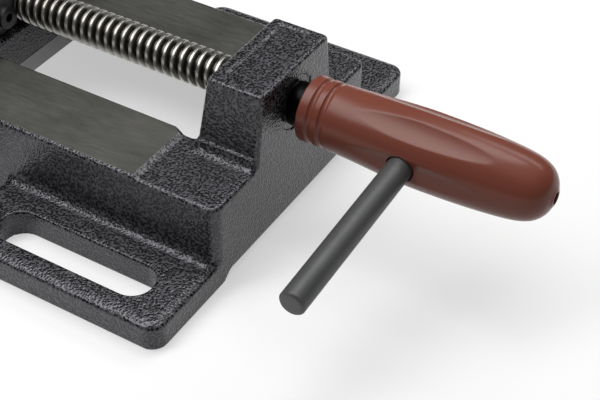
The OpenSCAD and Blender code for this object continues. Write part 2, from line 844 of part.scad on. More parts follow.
// Split lock washers of the keeper bolts
module keeper_lock_washers() {
    top_z = keeper_under_z - 2 * seat_gap - washer_t;
    color("#7d7e81") for (x = keeper_bolt_xs())
        difference() {
            washer(x, top_z, lock_washer_d, lock_washer_t);
            translate([x, 0, top_z - lock_washer_t / 2])
                rotate([20, 0, 0])
                    translate([lock_washer_d / 2, 0, 0])
                        cube([lock_washer_d, 0.8, 4 * lock_washer_t], center = true);
        }
}

// Hexagon bolts that clamp the keeper plate to the jaw's tongue
module keeper_bolts() {
    head_z = keeper_under_z - 3 * seat_gap - washer_t - lock_washer_t;
    color("#55565a") for (x = keeper_bolt_xs())
        translate([x, 0, head_z]) {
            translate([0, 0, -hex_h]) cylinder(d = across_corners(hex_flats), h = hex_h, $fn = 6);
            cylinder(d = bolt_d, h = keeper_bolt_l, $fn = 48);
        }
}

// Screw, grip and bar

// The cross hole for the bar through the shank or the grip
module bar_hole(d) {
    translate([bar_x, 0, screw_z])
        rotate([bar_tilt + 90, 0, 0])
            cylinder(d = d, h = 4 * grip_r, center = true, $fn = 64);
}

// The lead screw: nose and groove, trapezoidal thread, shoulder and shank
module lead_screw() {
    color("#a9a9a4") union() {
        x_rod(nose_end_x, groove_start_x, nose_d / 2);
        x_rod(groove_start_x - cut, groove_end_x + thread_overlap, groove_d / 2);
        threaded_rod(
            thread_x, thread_turns, thread_rest / 2,
            tooth_foot_w, crest_w, root_r, screw_d / 2
        );
        difference() {
            union() {
                x_rod(shoulder_x, shank_start_x, shoulder_d / 2);
                x_rod(shank_start_x - cut, shank_end_x, shank_d / 2);
            }
            bar_hole(bar_d + 2 * running_gap);
        }
    }
}

// Radius of the barrel: an eased swell to the widest point, then a taper with a round end
function swell(u) = u * u * (3 - 2 * u);
function nose(v) = (grip_r - nose_taper * v * v) * sqrt(1 - pow(v, nose_power));
function barrel_radius(x) =
    x < grip_widest
        ? barrel_start_r + (grip_r - barrel_start_r) * swell((x - barrel_x) / (grip_widest - barrel_x))
        : nose((x - grip_widest) / (grip_l - grip_widest));

// Outline of the grip as [radius, length] points
function grip_outline() =
    let (
        start_points = [[0, 0], [band_r - grip_bevel, 0], [band_r, grip_bevel]],
        groove_points = [for (groove = [groove_1, groove_2])
            for (k = [-4 : 4])
                [band_r - band_groove * cos(k * 22.5), groove[0] + groove[1] * sin(k * 22.5)]],
        swell_points = [for (k = [0 : 12])
            let (x = barrel_x + (grip_widest - barrel_x) * k / 12) [barrel_radius(x), x]],
        nose_points = [for (k = [1 : 20])
            let (x = grip_widest + (grip_l - grip_widest) * sin(k * 4.1)) [barrel_radius(x), x]],
        tip_points = [[tip_hole_d / 2 + tip_rim, grip_l], [0, grip_l]]
    )
        concat(start_points, groove_points, swell_points, nose_points, tip_points);

// One long flute: a straight round cut that begins and ends on the barrel's skin
module flute() {
    first_r = barrel_radius(flute_at - flute_l / 2);
    last_r = barrel_radius(flute_at + flute_l / 2);
    lean = atan((last_r - first_r) / flute_l);
    translate([flute_at, 0, (first_r + last_r) / 2])
        rotate([0, -lean, 0])
            translate([0, 0, flute_r])
                rotate([0, 90, 0])
                    cylinder(r = flute_r, h = flute_l + 2 * cut, center = true, $fn = 144);
}

// The moulded grip on the screw's shank
module handle_grip() {
    color("#7d4438") difference() {
        translate([grip_x, 0, screw_z])
            difference() {
                rotate([0, 90, 0])
                    rotate_extrude($fn = 96)
                        polygon(grip_outline());
                for (k = [0 : flute_count - 1])
                    rotate([flute_turn + 360 * k / flute_count, 0, 0])
                        flute();
            }
        x_rod(grip_x - cut, shank_end_x + seat_gap, shank_d / 2 + seat_gap);
        x_rod(shank_end_x - cut, grip_x + grip_l + cut, tip_hole_d / 2);
        bar_hole(bar_d + bar_hole_slack);
    }
}

// The tommy bar, a plain rod with chamfered ends
module tommy_bar() {
    half_outline = [
        [0, 0],
        [bar_d / 2 - bar_bevel, 0],
        [bar_d / 2, bar_bevel],
        [bar_d / 2, bar_l - bar_bevel],
        [bar_d / 2 - bar_bevel, bar_l],
        [0, bar_l]
    ];
    color("#3a3b3d") translate([bar_x, 0, screw_z])
        rotate([bar_tilt + 90, 0, 0])
            translate([0, 0, bar_reach - bar_l])
                rotate_extrude($fn = 64)
                    polygon(half_outline);
}

base_casting();
screw_nut();
nut_lock_screw();
fixed_jaw_plate();
fixed_plate_screws();
moving_jaw();
moving_jaw_plate();
moving_plate_screws();
thrust_pad();
retainer_plate();
retainer_screws();
keeper_plate();
keeper_flat_washers();
keeper_lock_washers();
keeper_bolts();
lead_screw();
handle_grip();
tommy_bar();
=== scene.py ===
# %% [markdown]
# # A drill press vise
#
# This lesson dresses a finished CAD model of a drill press vise. The CAD holds the real sizes and the
# joints. Blender adds what a camera sees: soft cast edges, hammered paint, bare milled iron, an oily screw
# thread and a glossy moulded grip. Every new piece is a numpy surface in the same frame as the CAD, so
# nothing is fitted by eye.

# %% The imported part
import json
import math

import bmesh
import bpy
import numpy as np
from mathutils import Matrix, Vector

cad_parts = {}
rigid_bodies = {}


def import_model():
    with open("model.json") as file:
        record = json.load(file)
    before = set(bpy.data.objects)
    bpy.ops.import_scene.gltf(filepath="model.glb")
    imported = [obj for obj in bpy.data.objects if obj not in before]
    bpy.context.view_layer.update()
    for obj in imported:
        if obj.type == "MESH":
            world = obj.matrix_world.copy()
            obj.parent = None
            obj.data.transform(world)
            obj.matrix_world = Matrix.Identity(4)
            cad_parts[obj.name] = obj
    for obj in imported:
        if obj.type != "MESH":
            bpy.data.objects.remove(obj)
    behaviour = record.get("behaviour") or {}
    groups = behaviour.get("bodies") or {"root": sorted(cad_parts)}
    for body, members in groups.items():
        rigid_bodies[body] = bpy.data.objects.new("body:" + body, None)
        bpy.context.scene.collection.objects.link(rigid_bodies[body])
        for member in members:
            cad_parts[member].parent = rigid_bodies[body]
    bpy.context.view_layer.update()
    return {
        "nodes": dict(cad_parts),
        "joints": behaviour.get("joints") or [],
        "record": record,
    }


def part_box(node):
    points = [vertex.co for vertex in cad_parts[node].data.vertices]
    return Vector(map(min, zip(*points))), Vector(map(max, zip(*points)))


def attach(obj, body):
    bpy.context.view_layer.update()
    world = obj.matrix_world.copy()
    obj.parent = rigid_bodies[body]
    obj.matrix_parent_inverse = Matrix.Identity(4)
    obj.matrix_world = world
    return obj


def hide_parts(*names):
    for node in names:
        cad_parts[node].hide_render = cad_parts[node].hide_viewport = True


for stray in list(bpy.data.objects):
    bpy.data.objects.remove(stray)

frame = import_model()
nodes = frame["nodes"]
record = frame["record"]
joints = {joint["name"]: joint for joint in frame["joints"]}
MM = 0.001
print("CAD nodes:", len(nodes), "joints:", list(joints))

# %% [markdown]
# ## Sizes that the pieces share
#
# A maker would read these off the drawing. The frame gives what it can: boxes of the nodes, the screw's
# axis, the bar's direction, the thread's pitch and the pattern of the slots. All sizes in this lesson are
# millimetres, and points become metres only when they go into a mesh.


# %% Shared sizes
def node_box(name):
    """Lowest and highest corner of a CAD node, in millimetres."""
    low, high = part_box(name)
    return np.array(low) / MM, np.array(high) / MM


SCREW_Z = joints["screw_turn"]["pos_m"][2] / MM
BAR_AXIS = -np.array(joints["tommy_bar_slide"]["axis"])
PITCH = 2 * math.pi / record["behaviour"]["couplings"][0]["ratio"] / MM
slot_dims = next(mount for mount in record["mounts"] if mount["name"] == "base_slots")["dims"]
base_low, base_high = node_box("base_casting")
END_X, HALF_BASE, JAW_TOP = base_high
WAY_TOP = 39.0
print("pitch", round(PITCH, 3), "screw axis", round(SCREW_Z, 2), "base", np.round(base_high - base_low, 2))

# %% [markdown]
# ## The camera
#
# The photograph was taken from the grip's end, 31 degrees round and 41 degrees up. The focal length and the
# place come from fitting the vise's straight edges to their places in the picture. The lens is shifted a
# little, because the picture was cropped.

# %% Camera
CAMERA_PLACE = np.array([327.6, -352.3, 359.6])
CAMERA_TURN, CAMERA_RISE, CAMERA_ROLL = np.radians([31.228, 40.876, 0.356])
FOCAL_PIXELS, PHOTO_W = 1352.5, 600
AXIS_OFFSET = (13.47, -2.68)

level = np.array([math.sin(CAMERA_TURN), -math.cos(CAMERA_TURN), 0.0])
back = level * math.cos(CAMERA_RISE) + np.array([0, 0, math.sin(CAMERA_RISE)])
right = np.array([math.cos(CAMERA_TURN), math.sin(CAMERA_TURN), 0.0])
up = np.cross(back, right)
rolled_right = right * math.cos(CAMERA_ROLL) + up * math.sin(CAMERA_ROLL)
rolled_up = up * math.cos(CAMERA_ROLL) - right * math.sin(CAMERA_ROLL)

camera = bpy.data.objects.new("camera", bpy.data.cameras.new("camera"))
camera.data.sensor_width = 36
camera.data.lens = FOCAL_PIXELS * camera.data.sensor_width / PHOTO_W
camera.data.shift_x = AXIS_OFFSET[0] / PHOTO_W
camera.data.shift_y = AXIS_OFFSET[1] / PHOTO_W
turn = Matrix(np.stack([rolled_right, rolled_up, back], axis=1).tolist())
camera.matrix_world = Matrix.Translation(Vector(CAMERA_PLACE * MM)) @ turn.to_4x4()
bpy.context.scene.collection.objects.link(camera)
bpy.context.scene.camera = camera
print("lens", round(camera.data.lens, 2), "mm")

# %% [markdown]
# ## From arrays to meshes
#
# Every piece below ends here: an array of points and an array of four-sided faces become one mesh, in
# place, with the object at the origin. Where a shape's formula gives exact normals, they go in too, so that
# a sparse mesh shades as the true surface. Other meshes are sewn together from grids of points: their seams
# are merged and their edges sharpened by angle.

# %% Mesh helpers
WELD = 2e-6


def make_piece(name, points, faces, material, body, replaced, slot, normals=None, crease=40):
    """One object from points in millimetres and four-sided faces, riding a body and standing for a node."""
    mesh = bpy.data.meshes.new(name)
    faces = np.asarray(faces, dtype=np.int32)
    mesh.vertices.add(len(points))
    mesh.vertices.foreach_set("co", (np.asarray(points) * MM).astype(np.float32).ravel())
    mesh.loops.add(faces.size)
    mesh.loops.foreach_set("vertex_index", faces.ravel())
    mesh.polygons.add(len(faces))
    mesh.polygons.foreach_set("loop_start", np.arange(0, faces.size, 4, dtype=np.int32))
    mesh.update(calc_edges=True)
    if normals is None:
        welded = bmesh.new()
        welded.from_mesh(mesh)
        bmesh.ops.remove_doubles(welded, verts=welded.verts, dist=WELD)
        bmesh.ops.dissolve_degenerate(welded, edges=welded.edges, dist=WELD / 2)
        bmesh.ops.recalc_face_normals(welded, faces=welded.faces)
        welded.to_mesh(mesh)
        welded.free()
    mesh.shade_smooth()
    if normals is None:
        mesh.set_sharp_from_angle(angle=math.radians(crease))
    else:
        mesh.normals_split_custom_set_from_vertices(np.asarray(normals).tolist())
    mesh.materials.append(material)
    piece = bpy.data.objects.new(name, mesh)
    bpy.context.scene.collection.objects.link(piece)
    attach(piece, body)
    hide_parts(replaced)
    print(name, len(mesh.vertices), "points", len(mesh.polygons), "faces")


def joined(grids):
    """Points and four-sided faces of several grids of points, numbered row by row, one grid after another."""
    points, faces, first = [], [], 0
    for grid in grids:
        rows, columns = grid.shape[:2]
        index = first + np.arange(rows * columns).reshape(rows, columns)
        ring = [index[:-1, :-1], index[1:, :-1], index[1:, 1:], index[:-1, 1:]]
        faces.append(np.stack(ring, axis=-1).reshape(-1, 4))
        points.append(grid.reshape(-1, 3))
        first += rows * columns
    return np.concatenate(points), np.concatenate(faces)


# %% [markdown]
# ## Words for materials
#
# All finishes are node materials on Object coordinates, in metres. One small helper makes the shader and
# wires nodes, so that each finish below reads as a short recipe.


# %% Node helper
class Finish:
    """A material with one shader, and short words for the nodes that feed it."""

    def __init__(self, name):
        self.material = bpy.data.materials.new(name)
        self.material.use_nodes = True
        self.tree = self.material.node_tree
        self.shader = self.tree.nodes["Principled BSDF"]
        self.place = self.node("ShaderNodeTexCoord").outputs["Object"]

    def node(self, kind, settings=(), **inputs):
        """A node with its settings, and with values or links on its inputs."""
        made = self.tree.nodes.new(kind)
        for key, value in dict(settings).items():
            setattr(made, key, value)
        for key, value in inputs.items():
            self.put(made.inputs[key.replace("_", " ")], value)
        return made

    def put(self, socket, value):
        """Links an output to the socket, or sets the socket's own value."""
        if isinstance(value, bpy.types.NodeSocket):
            self.tree.links.new(value, socket)
        else:
            socket.default_value = value

    def set(self, **inputs):
        """Values or links on the shader's own inputs."""
        for key, value in inputs.items():
            self.put(self.shader.inputs[key.replace("_", " ")], value)

    def noise(self, size, detail, roughness, place=None):
        """Soft random values in blobs of about that size, in millimetres."""
        made = self.node("ShaderNodeTexNoise", Scale=1 / (size * MM), Detail=detail, Roughness=roughness)
        self.put(made.inputs["Vector"], place or self.place)
        return made.outputs["Fac"]

    def stretched(self, factors):
        """Object coordinates scaled by a factor on each axis, for grain that runs one way."""
        return self.node("ShaderNodeMapping", Vector=self.place, Scale=factors).outputs["Vector"]

    def parts(self, vector):
        """The three numbers of a vector."""
        return self.node("ShaderNodeSeparateXYZ", Vector=vector).outputs

    def ramp(self, value, low, high):
        """Zero below low, one above high and a straight line between."""
        made = self.node("ShaderNodeMapRange", Value=value, From_Min=low, From_Max=high)
        return made.outputs["Result"]

    def calc(self, operation, a, b=0.0):
        """One step of arithmetic on two values."""
        made = self.node("ShaderNodeMath", {"operation": operation})
        self.put(made.inputs[0], a)
        self.put(made.inputs[1], b)
        return made.outputs[0]

    def mix(self, data_type, *values):
        """A mix node of that data type, fed with the share and the two values to mix."""
        made = self.node("ShaderNodeMix", {"data_type": data_type})
        sockets = [s for s in made.inputs if s.enabled]
        for socket, value in zip(sockets, values):
            self.put(socket, value)
        return next(s for s in made.outputs if s.enabled)

    def blend(self, share, a, b):
        """A colour between a and b."""
        a, b = ((*colour, 1) if isinstance(colour, tuple) else colour for colour in (a, b))
        return self.mix("RGBA", share, a, b)

    def between(self, share, a, b):
        """A number between a and b."""
        return self.mix("FLOAT", share, a, b)

    def bump(self, height, depth):
        """Dents of that depth in millimetres on the shader's normal."""
        made = self.node("ShaderNodeBump", Distance=depth * MM, Height=height)
        self.set(Normal=made.outputs["Normal"])

    def done(self):
        """The finished material."""
        print("finish", self.material.name, len(self.tree.nodes), "nodes")
        return self.material


# %% [markdown]
# ## Hammered paint and bare ways
#
# The castings have a black hammered paint: the wet film draws into small dimples as it dries, with a network
# of ridges between them, so a glossy black skin glints from thousands of tiny slopes. The dimples are
# coloured
# near black and the ridges much lighter: partly the paint's own pattern, partly painted shade in the dimples.
# After painting, the ways are milled, so their tops are bare grey iron with a fine grain, and the paint ends
# in a ragged edge. Two materials would need a cut along that edge. Both are one material here: a mask from
# the height and the slope of the surface picks the milled faces.

# %% Cast iron finish
PULL, RAGGED, LEVEL = 0.3 * MM, 0.35 * MM, 0.985
MILLED_BELOW, MILLED_ABOVE = 0.02, 0.6


def hammered_paint(name, milled_z):
    """Black hammered paint, with bare iron on level faces at the height milled_z, in millimetres.

    The dimples are the cells of a Voronoi pattern, read at a place that noise has pulled about a little.
    """
    f = Finish(name)
    drift = f.node("ShaderNodeTexNoise", Vector=f.place, Scale=1200.0, Detail=2.0)
    pulled = f.node("ShaderNodeVectorMath", {"operation": "MULTIPLY_ADD"})
    for socket, value in zip(pulled.inputs, (drift.outputs["Color"], (PULL, PULL, PULL), f.place)):
        f.put(socket, value)
    cells = f.node("ShaderNodeTexVoronoi", {"feature": "SMOOTH_F1"}, Scale=1000.0, Smoothness=0.25)
    f.put(cells.inputs["Vector"], pulled.outputs[0])
    dimple = cells.outputs["Distance"]
    grain = f.noise(0.5, 1.0, 0.5)
    ridge_and_pit_shade = f.ramp(dimple, 0.4, 0.68)

    height = f.calc("ADD", f.parts(f.place)["Z"], f.calc("MULTIPLY", grain, RAGGED))
    slope = f.parts(f.node("ShaderNodeNewGeometry").outputs["Normal"])["Z"]
    high = f.calc("GREATER_THAN", height, (milled_z - MILLED_BELOW) * MM)
    low = f.calc("LESS_THAN", height, (milled_z + MILLED_ABOVE) * MM)
    milled = f.calc("MULTIPLY", f.calc("MULTIPLY", high, low), f.calc("GREATER_THAN", slope, LEVEL))

    mill_grain = f.noise(1.1, 4.0, 0.65, f.stretched((0.14, 1.0, 1.0)))
    cloud = f.noise(38, 3.0, 0.55)
    worn = f.calc("ADD", f.calc("MULTIPLY", cloud, 0.75), f.calc("MULTIPLY", mill_grain, 0.5))
    bare = f.blend(f.ramp(worn, 0.4, 0.85), (0.095, 0.095, 0.086), (0.175, 0.174, 0.158))
    # Dimples near black, ridges lighter: partly the paint's own pattern, partly painted shade in the dimples.
    painted = f.blend(ridge_and_pit_shade, (0.002, 0.002, 0.0025), (0.09, 0.088, 0.097))
    f.set(Base_Color=f.blend(milled, painted, bare), Specular_IOR_Level=0.52)
    f.set(Metallic=f.calc("MULTIPLY", milled, 0.9), Specular_Tint=(0.95, 0.93, 1.0, 1.0))
    paint_rough = f.between(grain, 0.1, 0.16)
    bare_rough = f.between(mill_grain, 0.36, 0.5)
    f.set(Roughness=f.between(milled, paint_rough, bare_rough))
    paint_height = f.calc("ADD", f.calc("MULTIPLY", dimple, 0.9), f.calc("MULTIPLY", grain, 0.35))
    bare_height = f.calc("MULTIPLY", mill_grain, 0.14)
    f.bump(f.between(milled, paint_height, bare_height), 0.21)
    return f.done()


cast_finish = hammered_paint("black_hammered_paint", WAY_TOP)

# %% [markdown]
# ## Shapes as distances
#
# A casting is made of plain blocks that melt into one another: every inner corner has a fillet and every
# outer edge is eased. Bevelling the edges of a cut-up mesh breaks at the corners. Here the whole casting is
# one function instead, the signed distance to its skin, negative inside. Two blocks join with a minimum, a
# hole is a maximum with the hole's distance turned round, and the rounded forms of both give fillets and
# eased edges.


# %% Distance helpers
def plan(u, v, low, high, r):
    """Distance to a rectangle from low to high with corners of radius r: outside length plus inside depth."""
    a = np.abs(u - (low[0] + high[0]) / 2) - (high[0] - low[0]) / 2 + r
    b = np.abs(v - (low[1] + high[1]) / 2) - (high[1] - low[1]) / 2 + r
    return np.hypot(np.maximum(a, 0), np.maximum(b, 0)) + np.minimum(np.maximum(a, b), 0) - r


def eased_and(a, b, r):
    """What lies inside both: the larger distance, and at their edge the distance to a round of radius r."""
    return np.minimum(np.maximum(a, b), -r) + np.hypot(np.maximum(a + r, 0), np.maximum(b + r, 0))


def fillet_or(a, b, r):
    """What lies inside either: the smaller distance, and in their corner that to a fillet of radius r."""
    return np.maximum(np.minimum(a, b), r) - np.hypot(np.maximum(r - a, 0), np.maximum(r - b, 0))


def rod_x(y, z, r):
    """Distance to an endless round bar along X on the screw's axis: how far off the axis, less the radius."""
    return np.hypot(y, z - SCREW_Z) - r


def drafted(x, y, z, foot, top, foot_z, top_z, corner, edge):
    """A block that leans from a foot rectangle to a top one (low x, high x, half width), eased above."""
    share = np.maximum((z - foot_z) / (top_z - foot_z), 0)
    low_x, high_x, half_y = (f + (t - f) * share for f, t in zip(foot, top))
    sides = plan(x, y, (low_x, -half_y), (high_x, half_y), corner)
    return eased_and(sides, z - top_z, edge)


# %% [markdown]
# ## Skinning a distance
#
# The distance is worked out on a grid whose lines crowd together near edges and spread out over flats. Each
# cell that the skin passes through gets one point, and each grid edge that the skin cuts gets one face
# between its four cells. Each point then steps onto the true skin along the slope of the distance, and that
# slope is also its normal.

# %% Skin of a distance
MARGIN, PROBES = 1.5, 6001
SKIN_STEPS, LONGEST_STEP, LEAST_SLOPE = 4, 0.4, 0.2


def rulings(low, high, marks, fine, coarse, growth=0.22):
    """Grid lines from low to high and a margin beyond.

    Their step is fine at each mark, and grows with the distance from the nearest mark until it is coarse.
    """
    probe = np.linspace(low - MARGIN, high + MARGIN, PROBES)
    gap = np.abs(probe[:, None] - np.asarray(marks)).min(axis=1)
    step = np.clip(fine + growth * gap, fine, coarse)
    count = np.concatenate([[0], np.cumsum(np.diff(probe) / step[:-1])])
    return np.interp(np.linspace(0, count[-1], math.ceil(count[-1]) + 1), count, probe)


def slope_of(distance, points, reach=0.02):
    """Gradient of the distance at the points, by central differences."""
    steps = reach * np.eye(3)
    rises = [distance(*(points + step).T) - distance(*(points - step).T) for step in steps]
    return np.stack(rises, axis=1) / (2 * reach)


def cell_points(grid, inside, lines, cells):
    """One point for each cell: the mean of the places where the skin cuts its twelve edges."""
    total, cuts = np.zeros((len(cells), 3)), np.zeros((len(cells), 1))
    for start in np.ndindex(2, 2, 2):
        for axis in np.flatnonzero(np.array(start) == 0):
            end = start + np.eye(3, dtype=int)[axis]
            a, b = tuple((cells + start).T), tuple((cells + end).T)
            cut = (inside[a] != inside[b])[:, None]
            share = (grid[a] / np.where(cut[:, 0], grid[a] - grid[b], 1))[:, None]
            p, q = (np.stack([line[i] for line, i in zip(lines, corner)], axis=1) for corner in (a, b))
            total += np.where(cut, p + share * (q - p), 0)
            cuts += cut
    return total / cuts


def skin(distance, *lines):
    """Points, faces and normals of the surface where the distance is zero."""
    grid = distance(*np.meshgrid(*lines, indexing="ij", sparse=True))
    inside = grid < 0
    size = np.array(grid.shape) - 1
    held = np.zeros(size, dtype=np.int8)
    for i, j, k in np.ndindex(2, 2, 2):
        held += inside[i : i + size[0], j : j + size[1], k : k + size[2]]
    cells = np.argwhere((held > 0) & (held < 8))
    number = np.full(size, -1, dtype=np.int32)
    number[tuple(cells.T)] = np.arange(len(cells))
    points = cell_points(grid, inside, lines, cells)

    faces = []
    for axis in range(3):
        u, v = (axis + 1) % 3, (axis + 2) % 3
        near, far = [slice(1, -1)] * 3, [slice(1, -1)] * 3
        near[axis], far[axis] = slice(0, -1), slice(1, None)
        change = inside[tuple(near)].astype(np.int8) - inside[tuple(far)].astype(np.int8)
        for sign in (1, -1):
            edge = np.argwhere(change == sign)
            ring = []
            for du, dv in ((0, 0), (1, 0), (1, 1), (0, 1)):
                cell = edge.copy()
                cell[:, u] += du
                cell[:, v] += dv
                ring.append(number[tuple(cell.T)])
            faces.append(np.stack(ring[::sign], axis=1))

    for _ in range(SKIN_STEPS):
        gradient = slope_of(distance, points)
        pull = distance(*points.T) / np.maximum((gradient**2).sum(axis=1), LEAST_SLOPE)
        points = points - np.clip(gradient * pull[:, None], -LONGEST_STEP, LONGEST_STEP)
    normals = slope_of(distance, points)
    normals /= np.maximum(np.linalg.norm(normals, axis=1), 1e-6)[:, None]
    return points, np.concatenate(faces), normals


# %% [markdown]
# ## The base casting
#
# The base is one iron casting: a hollow body with two rails on top, four slotted ears, the block that holds
# the nut and the fixed jaw. The block's top has a shallow sunk panel, whose sloping rim catches the light.
# The distance is written in the order in which a pattern maker would build the casting: body and ears, then
# the blocks on top, then everything that is cut away. A plain 1, 2 or 4 beside a size there only makes two
# shapes overlap.

# %% Sizes of the base
BODY_HALF, BODY_CORNER, CAST_EDGE, CAST_TOP, RAIL_UNDER = 56.0, 4.5, 1.6, 38.2, 27.0
WAY_END, WAY_RAMP = 80.6, 3.5
EAR_TOP, EAR_L, EAR_CORNER, EAR_EDGE, EAR_FILLET = 11.6, 100.0, 6.5, 0.9, 4.0
EAR_ROLL, EAR_DROP, WAY_EDGE = 4.0, 1.3, 1.8
SLOT_X, SLOT_Y = slot_dims["spacing_x_mm"] / 2, slot_dims["spacing_y_mm"] / 2
SLOT_R, SLOT_HALF, SLOT_EDGE = slot_dims["hole_r_mm"], slot_dims["slot_length_mm"] / 2, 0.8
BLOCK_TOP, BLOCK_EDGE, BLOCK_CORNER, BLOCK_FILLET = 69.0, 1.2, 2.0, 4.2
BLOCK_FOOT, BLOCK_HEAD = (90.5, END_X, 28.0), (93.8, END_X, 24.0)
SUNK_PANEL, SUNK_CORNER, SUNK_DEPTH, SUNK_LEAN = ((98.0, -17.7), (112.4, 21.5)), 1.0, 0.5, 0.9
FIXED_SEAT, FIXED_FACE = -75.0, -67.0
JAW_FOOT, JAW_HEAD = (-END_X, FIXED_FACE, 52.0), (-END_X + 5, FIXED_FACE, 50.0)
HALF_GAP, HALF_CAST_GAP, GAP_CORNER, CAST_GAP_X, GAP_EDGE = 22.25, 23.45, 5.0, 77.6, 1.6
HALF_HOLLOW, END_WALL, HOLLOW_CORNER, HOLLOW_FILLET = 49.0, 14.0, 3.0, 2.0
ARCH, ARCH_EASE, ARCH_EDGE = 3.5, 6.0, 0.4
NUT_R, NUT_NECK_R, NUT_STEP, LOCK_X, LOCK_R = 13.03, 11.03, 110.6, 102.25, 3.03
MILLED_EDGE, MILLED_CORNER, BORE_EDGE = 0.2, 0.3, 0.3


# %% Distance of the base
def base_solid(x, y, z):
    """Body, ways, ears, nut block and fixed jaw, before anything is cut away."""
    body_plan = plan(x, y, (-END_X, -BODY_HALF), (END_X, BODY_HALF), BODY_CORNER)
    foot_plan = plan(x, y, (BLOCK_FOOT[0], -BLOCK_FOOT[2]), (BLOCK_FOOT[1], BLOCK_FOOT[2]), BLOCK_CORNER)
    body_top = fillet_or(foot_plan, z - CAST_TOP, BLOCK_FILLET)
    body = np.maximum(eased_and(body_plan, body_top, CAST_EDGE), z - CAST_TOP - BLOCK_FILLET)
    ramp = np.clip(1 - (x - WAY_END) / WAY_RAMP, 0, 1) ** 2
    way_top = z - CAST_TOP - (WAY_TOP - CAST_TOP) * ramp
    ways = plan(x, y, (FIXED_SEAT - 1, -BODY_HALF), (WAY_END + WAY_RAMP, BODY_HALF), MILLED_EDGE)
    ear_low, ear_high = (SLOT_X - EAR_L / 2, -HALF_BASE), (SLOT_X + EAR_L / 2, HALF_BASE)
    ear_plan = plan(np.abs(x), y, ear_low, ear_high, EAR_CORNER)
    roll = np.clip(1 + ear_plan / EAR_ROLL, 0, 1)
    ear_top = fillet_or(body_plan, z - EAR_TOP + EAR_DROP * roll**2, EAR_FILLET)
    ears = np.maximum(eased_and(ear_plan, ear_top, EAR_EDGE), z - EAR_TOP - EAR_FILLET)
    block = drafted(x, y, z, BLOCK_FOOT, BLOCK_HEAD, CAST_TOP, BLOCK_TOP, BLOCK_CORNER, BLOCK_EDGE)
    sunk = SUNK_DEPTH * np.clip(-plan(x, y, *SUNK_PANEL, SUNK_CORNER) / SUNK_LEAN, 0, 1)
    block = np.maximum(block, z - BLOCK_TOP + sunk)
    jaw = drafted(x, y, z, JAW_FOOT, JAW_HEAD, CAST_TOP, JAW_TOP, BLOCK_CORNER, BLOCK_EDGE)
    jaw = np.maximum(jaw, np.minimum(x - FIXED_SEAT, z - WAY_TOP))
    upper = np.maximum(np.minimum(block, jaw), CAST_TOP - 1 - z)
    lower = np.minimum(np.minimum(body, ears), eased_and(ways, way_top, WAY_EDGE))
    return np.minimum(lower, upper)


def base_distance(x, y, z):
    """Signed distance to the base casting: the solid less its hollow, gap, slots, bores and low arch."""
    solid = base_solid(x, y, z)
    hollow_end = END_X - END_WALL
    hollow = plan(x, y, (-hollow_end, -HALF_HOLLOW), (hollow_end, HALF_HOLLOW), HOLLOW_CORNER)
    solid = np.maximum(solid, -eased_and(hollow, z - RAIL_UNDER, HOLLOW_FILLET))
    gap = plan(x, y, (FIXED_SEAT, -HALF_GAP), (CAST_GAP_X + 2, HALF_GAP), MILLED_CORNER)
    solid = eased_and(solid, -np.maximum(gap, z - JAW_TOP), MILLED_EDGE)
    cast_gap = plan(x, y, (CAST_GAP_X, -HALF_CAST_GAP), (BLOCK_FOOT[0], HALF_CAST_GAP), GAP_CORNER)
    solid = eased_and(solid, -np.maximum(cast_gap, z - JAW_TOP), GAP_EDGE)
    slot_along = np.maximum(np.abs(np.abs(x) - SLOT_X) - (SLOT_HALF - SLOT_R), 0)
    solid = eased_and(solid, SLOT_R - np.hypot(slot_along, np.abs(y) - SLOT_Y), SLOT_EDGE)
    nut_seat = np.maximum(np.maximum(rod_x(y, z, NUT_R), x - NUT_STEP), BLOCK_FOOT[0] - 4 - x)
    neck = np.maximum(rod_x(y, z, NUT_NECK_R), BLOCK_FOOT[0] - x)
    lock = np.maximum(np.hypot(x - LOCK_X, z - SCREW_Z) - LOCK_R, -y)
    solid = eased_and(solid, -np.minimum(np.minimum(nut_seat, neck), lock), BORE_EDGE)
    rise = np.clip((HALF_HOLLOW + ARCH_EASE / 2 - np.abs(y)) / ARCH_EASE, 0, 1)
    return eased_and(solid, ARCH * rise**2 * (3 - 2 * rise) - z, ARCH_EDGE)


# %% Skin of the base
BASE_GROWTH = 0.36
slot_ends = [SLOT_X + side * (SLOT_HALF - inset) for side in (-1, 1) for inset in (0, SLOT_R)]
x_marks = [END_X, SLOT_X - EAR_L / 2, END_X - END_WALL, *slot_ends]
x_marks += [-mark for mark in x_marks]
x_marks += [JAW_HEAD[0], FIXED_SEAT, FIXED_FACE, CAST_GAP_X, WAY_END, WAY_END + WAY_RAMP]
x_marks += [BLOCK_FOOT[0], BLOCK_HEAD[0]]
x_marks += [SUNK_PANEL[0][0] + SUNK_LEAN / 2, SUNK_PANEL[1][0] - SUNK_LEAN / 2]
y_marks = [HALF_BASE, SLOT_Y + SLOT_R, SLOT_Y - SLOT_R, BODY_HALF, BODY_HALF + 2, JAW_FOOT[2], JAW_HEAD[2]]
y_marks += [HALF_HOLLOW, BLOCK_FOOT[2], (BLOCK_FOOT[2] + BLOCK_HEAD[2]) / 2]
y_marks += [HALF_CAST_GAP, HALF_GAP, NUT_R]
y_marks += [-mark for mark in y_marks]
y_marks += [SUNK_PANEL[0][1] + SUNK_LEAN / 2, SUNK_PANEL[1][1] - SUNK_LEAN / 2]
z_marks = [0, ARCH, EAR_TOP, EAR_TOP + 2, RAIL_UNDER, CAST_TOP, WAY_TOP, BLOCK_TOP - 2, BLOCK_TOP, JAW_TOP]
base_lines = (
    rulings(-END_X, END_X, x_marks, 0.5, 4.5, BASE_GROWTH),
    rulings(-HALF_BASE, HALF_BASE, y_marks, 0.5, 4.0, BASE_GROWTH),
    rulings(0, JAW_TOP, z_marks, 0.45, 3.5, BASE_GROWTH),
)
print("base grid", [len(line) for line in base_lines])
points, faces, normals = skin(base_distance, *base_lines)
make_piece("base_casting_skin", points, faces, cast_finish, "frame", "base_casting", "cast_body", normals)

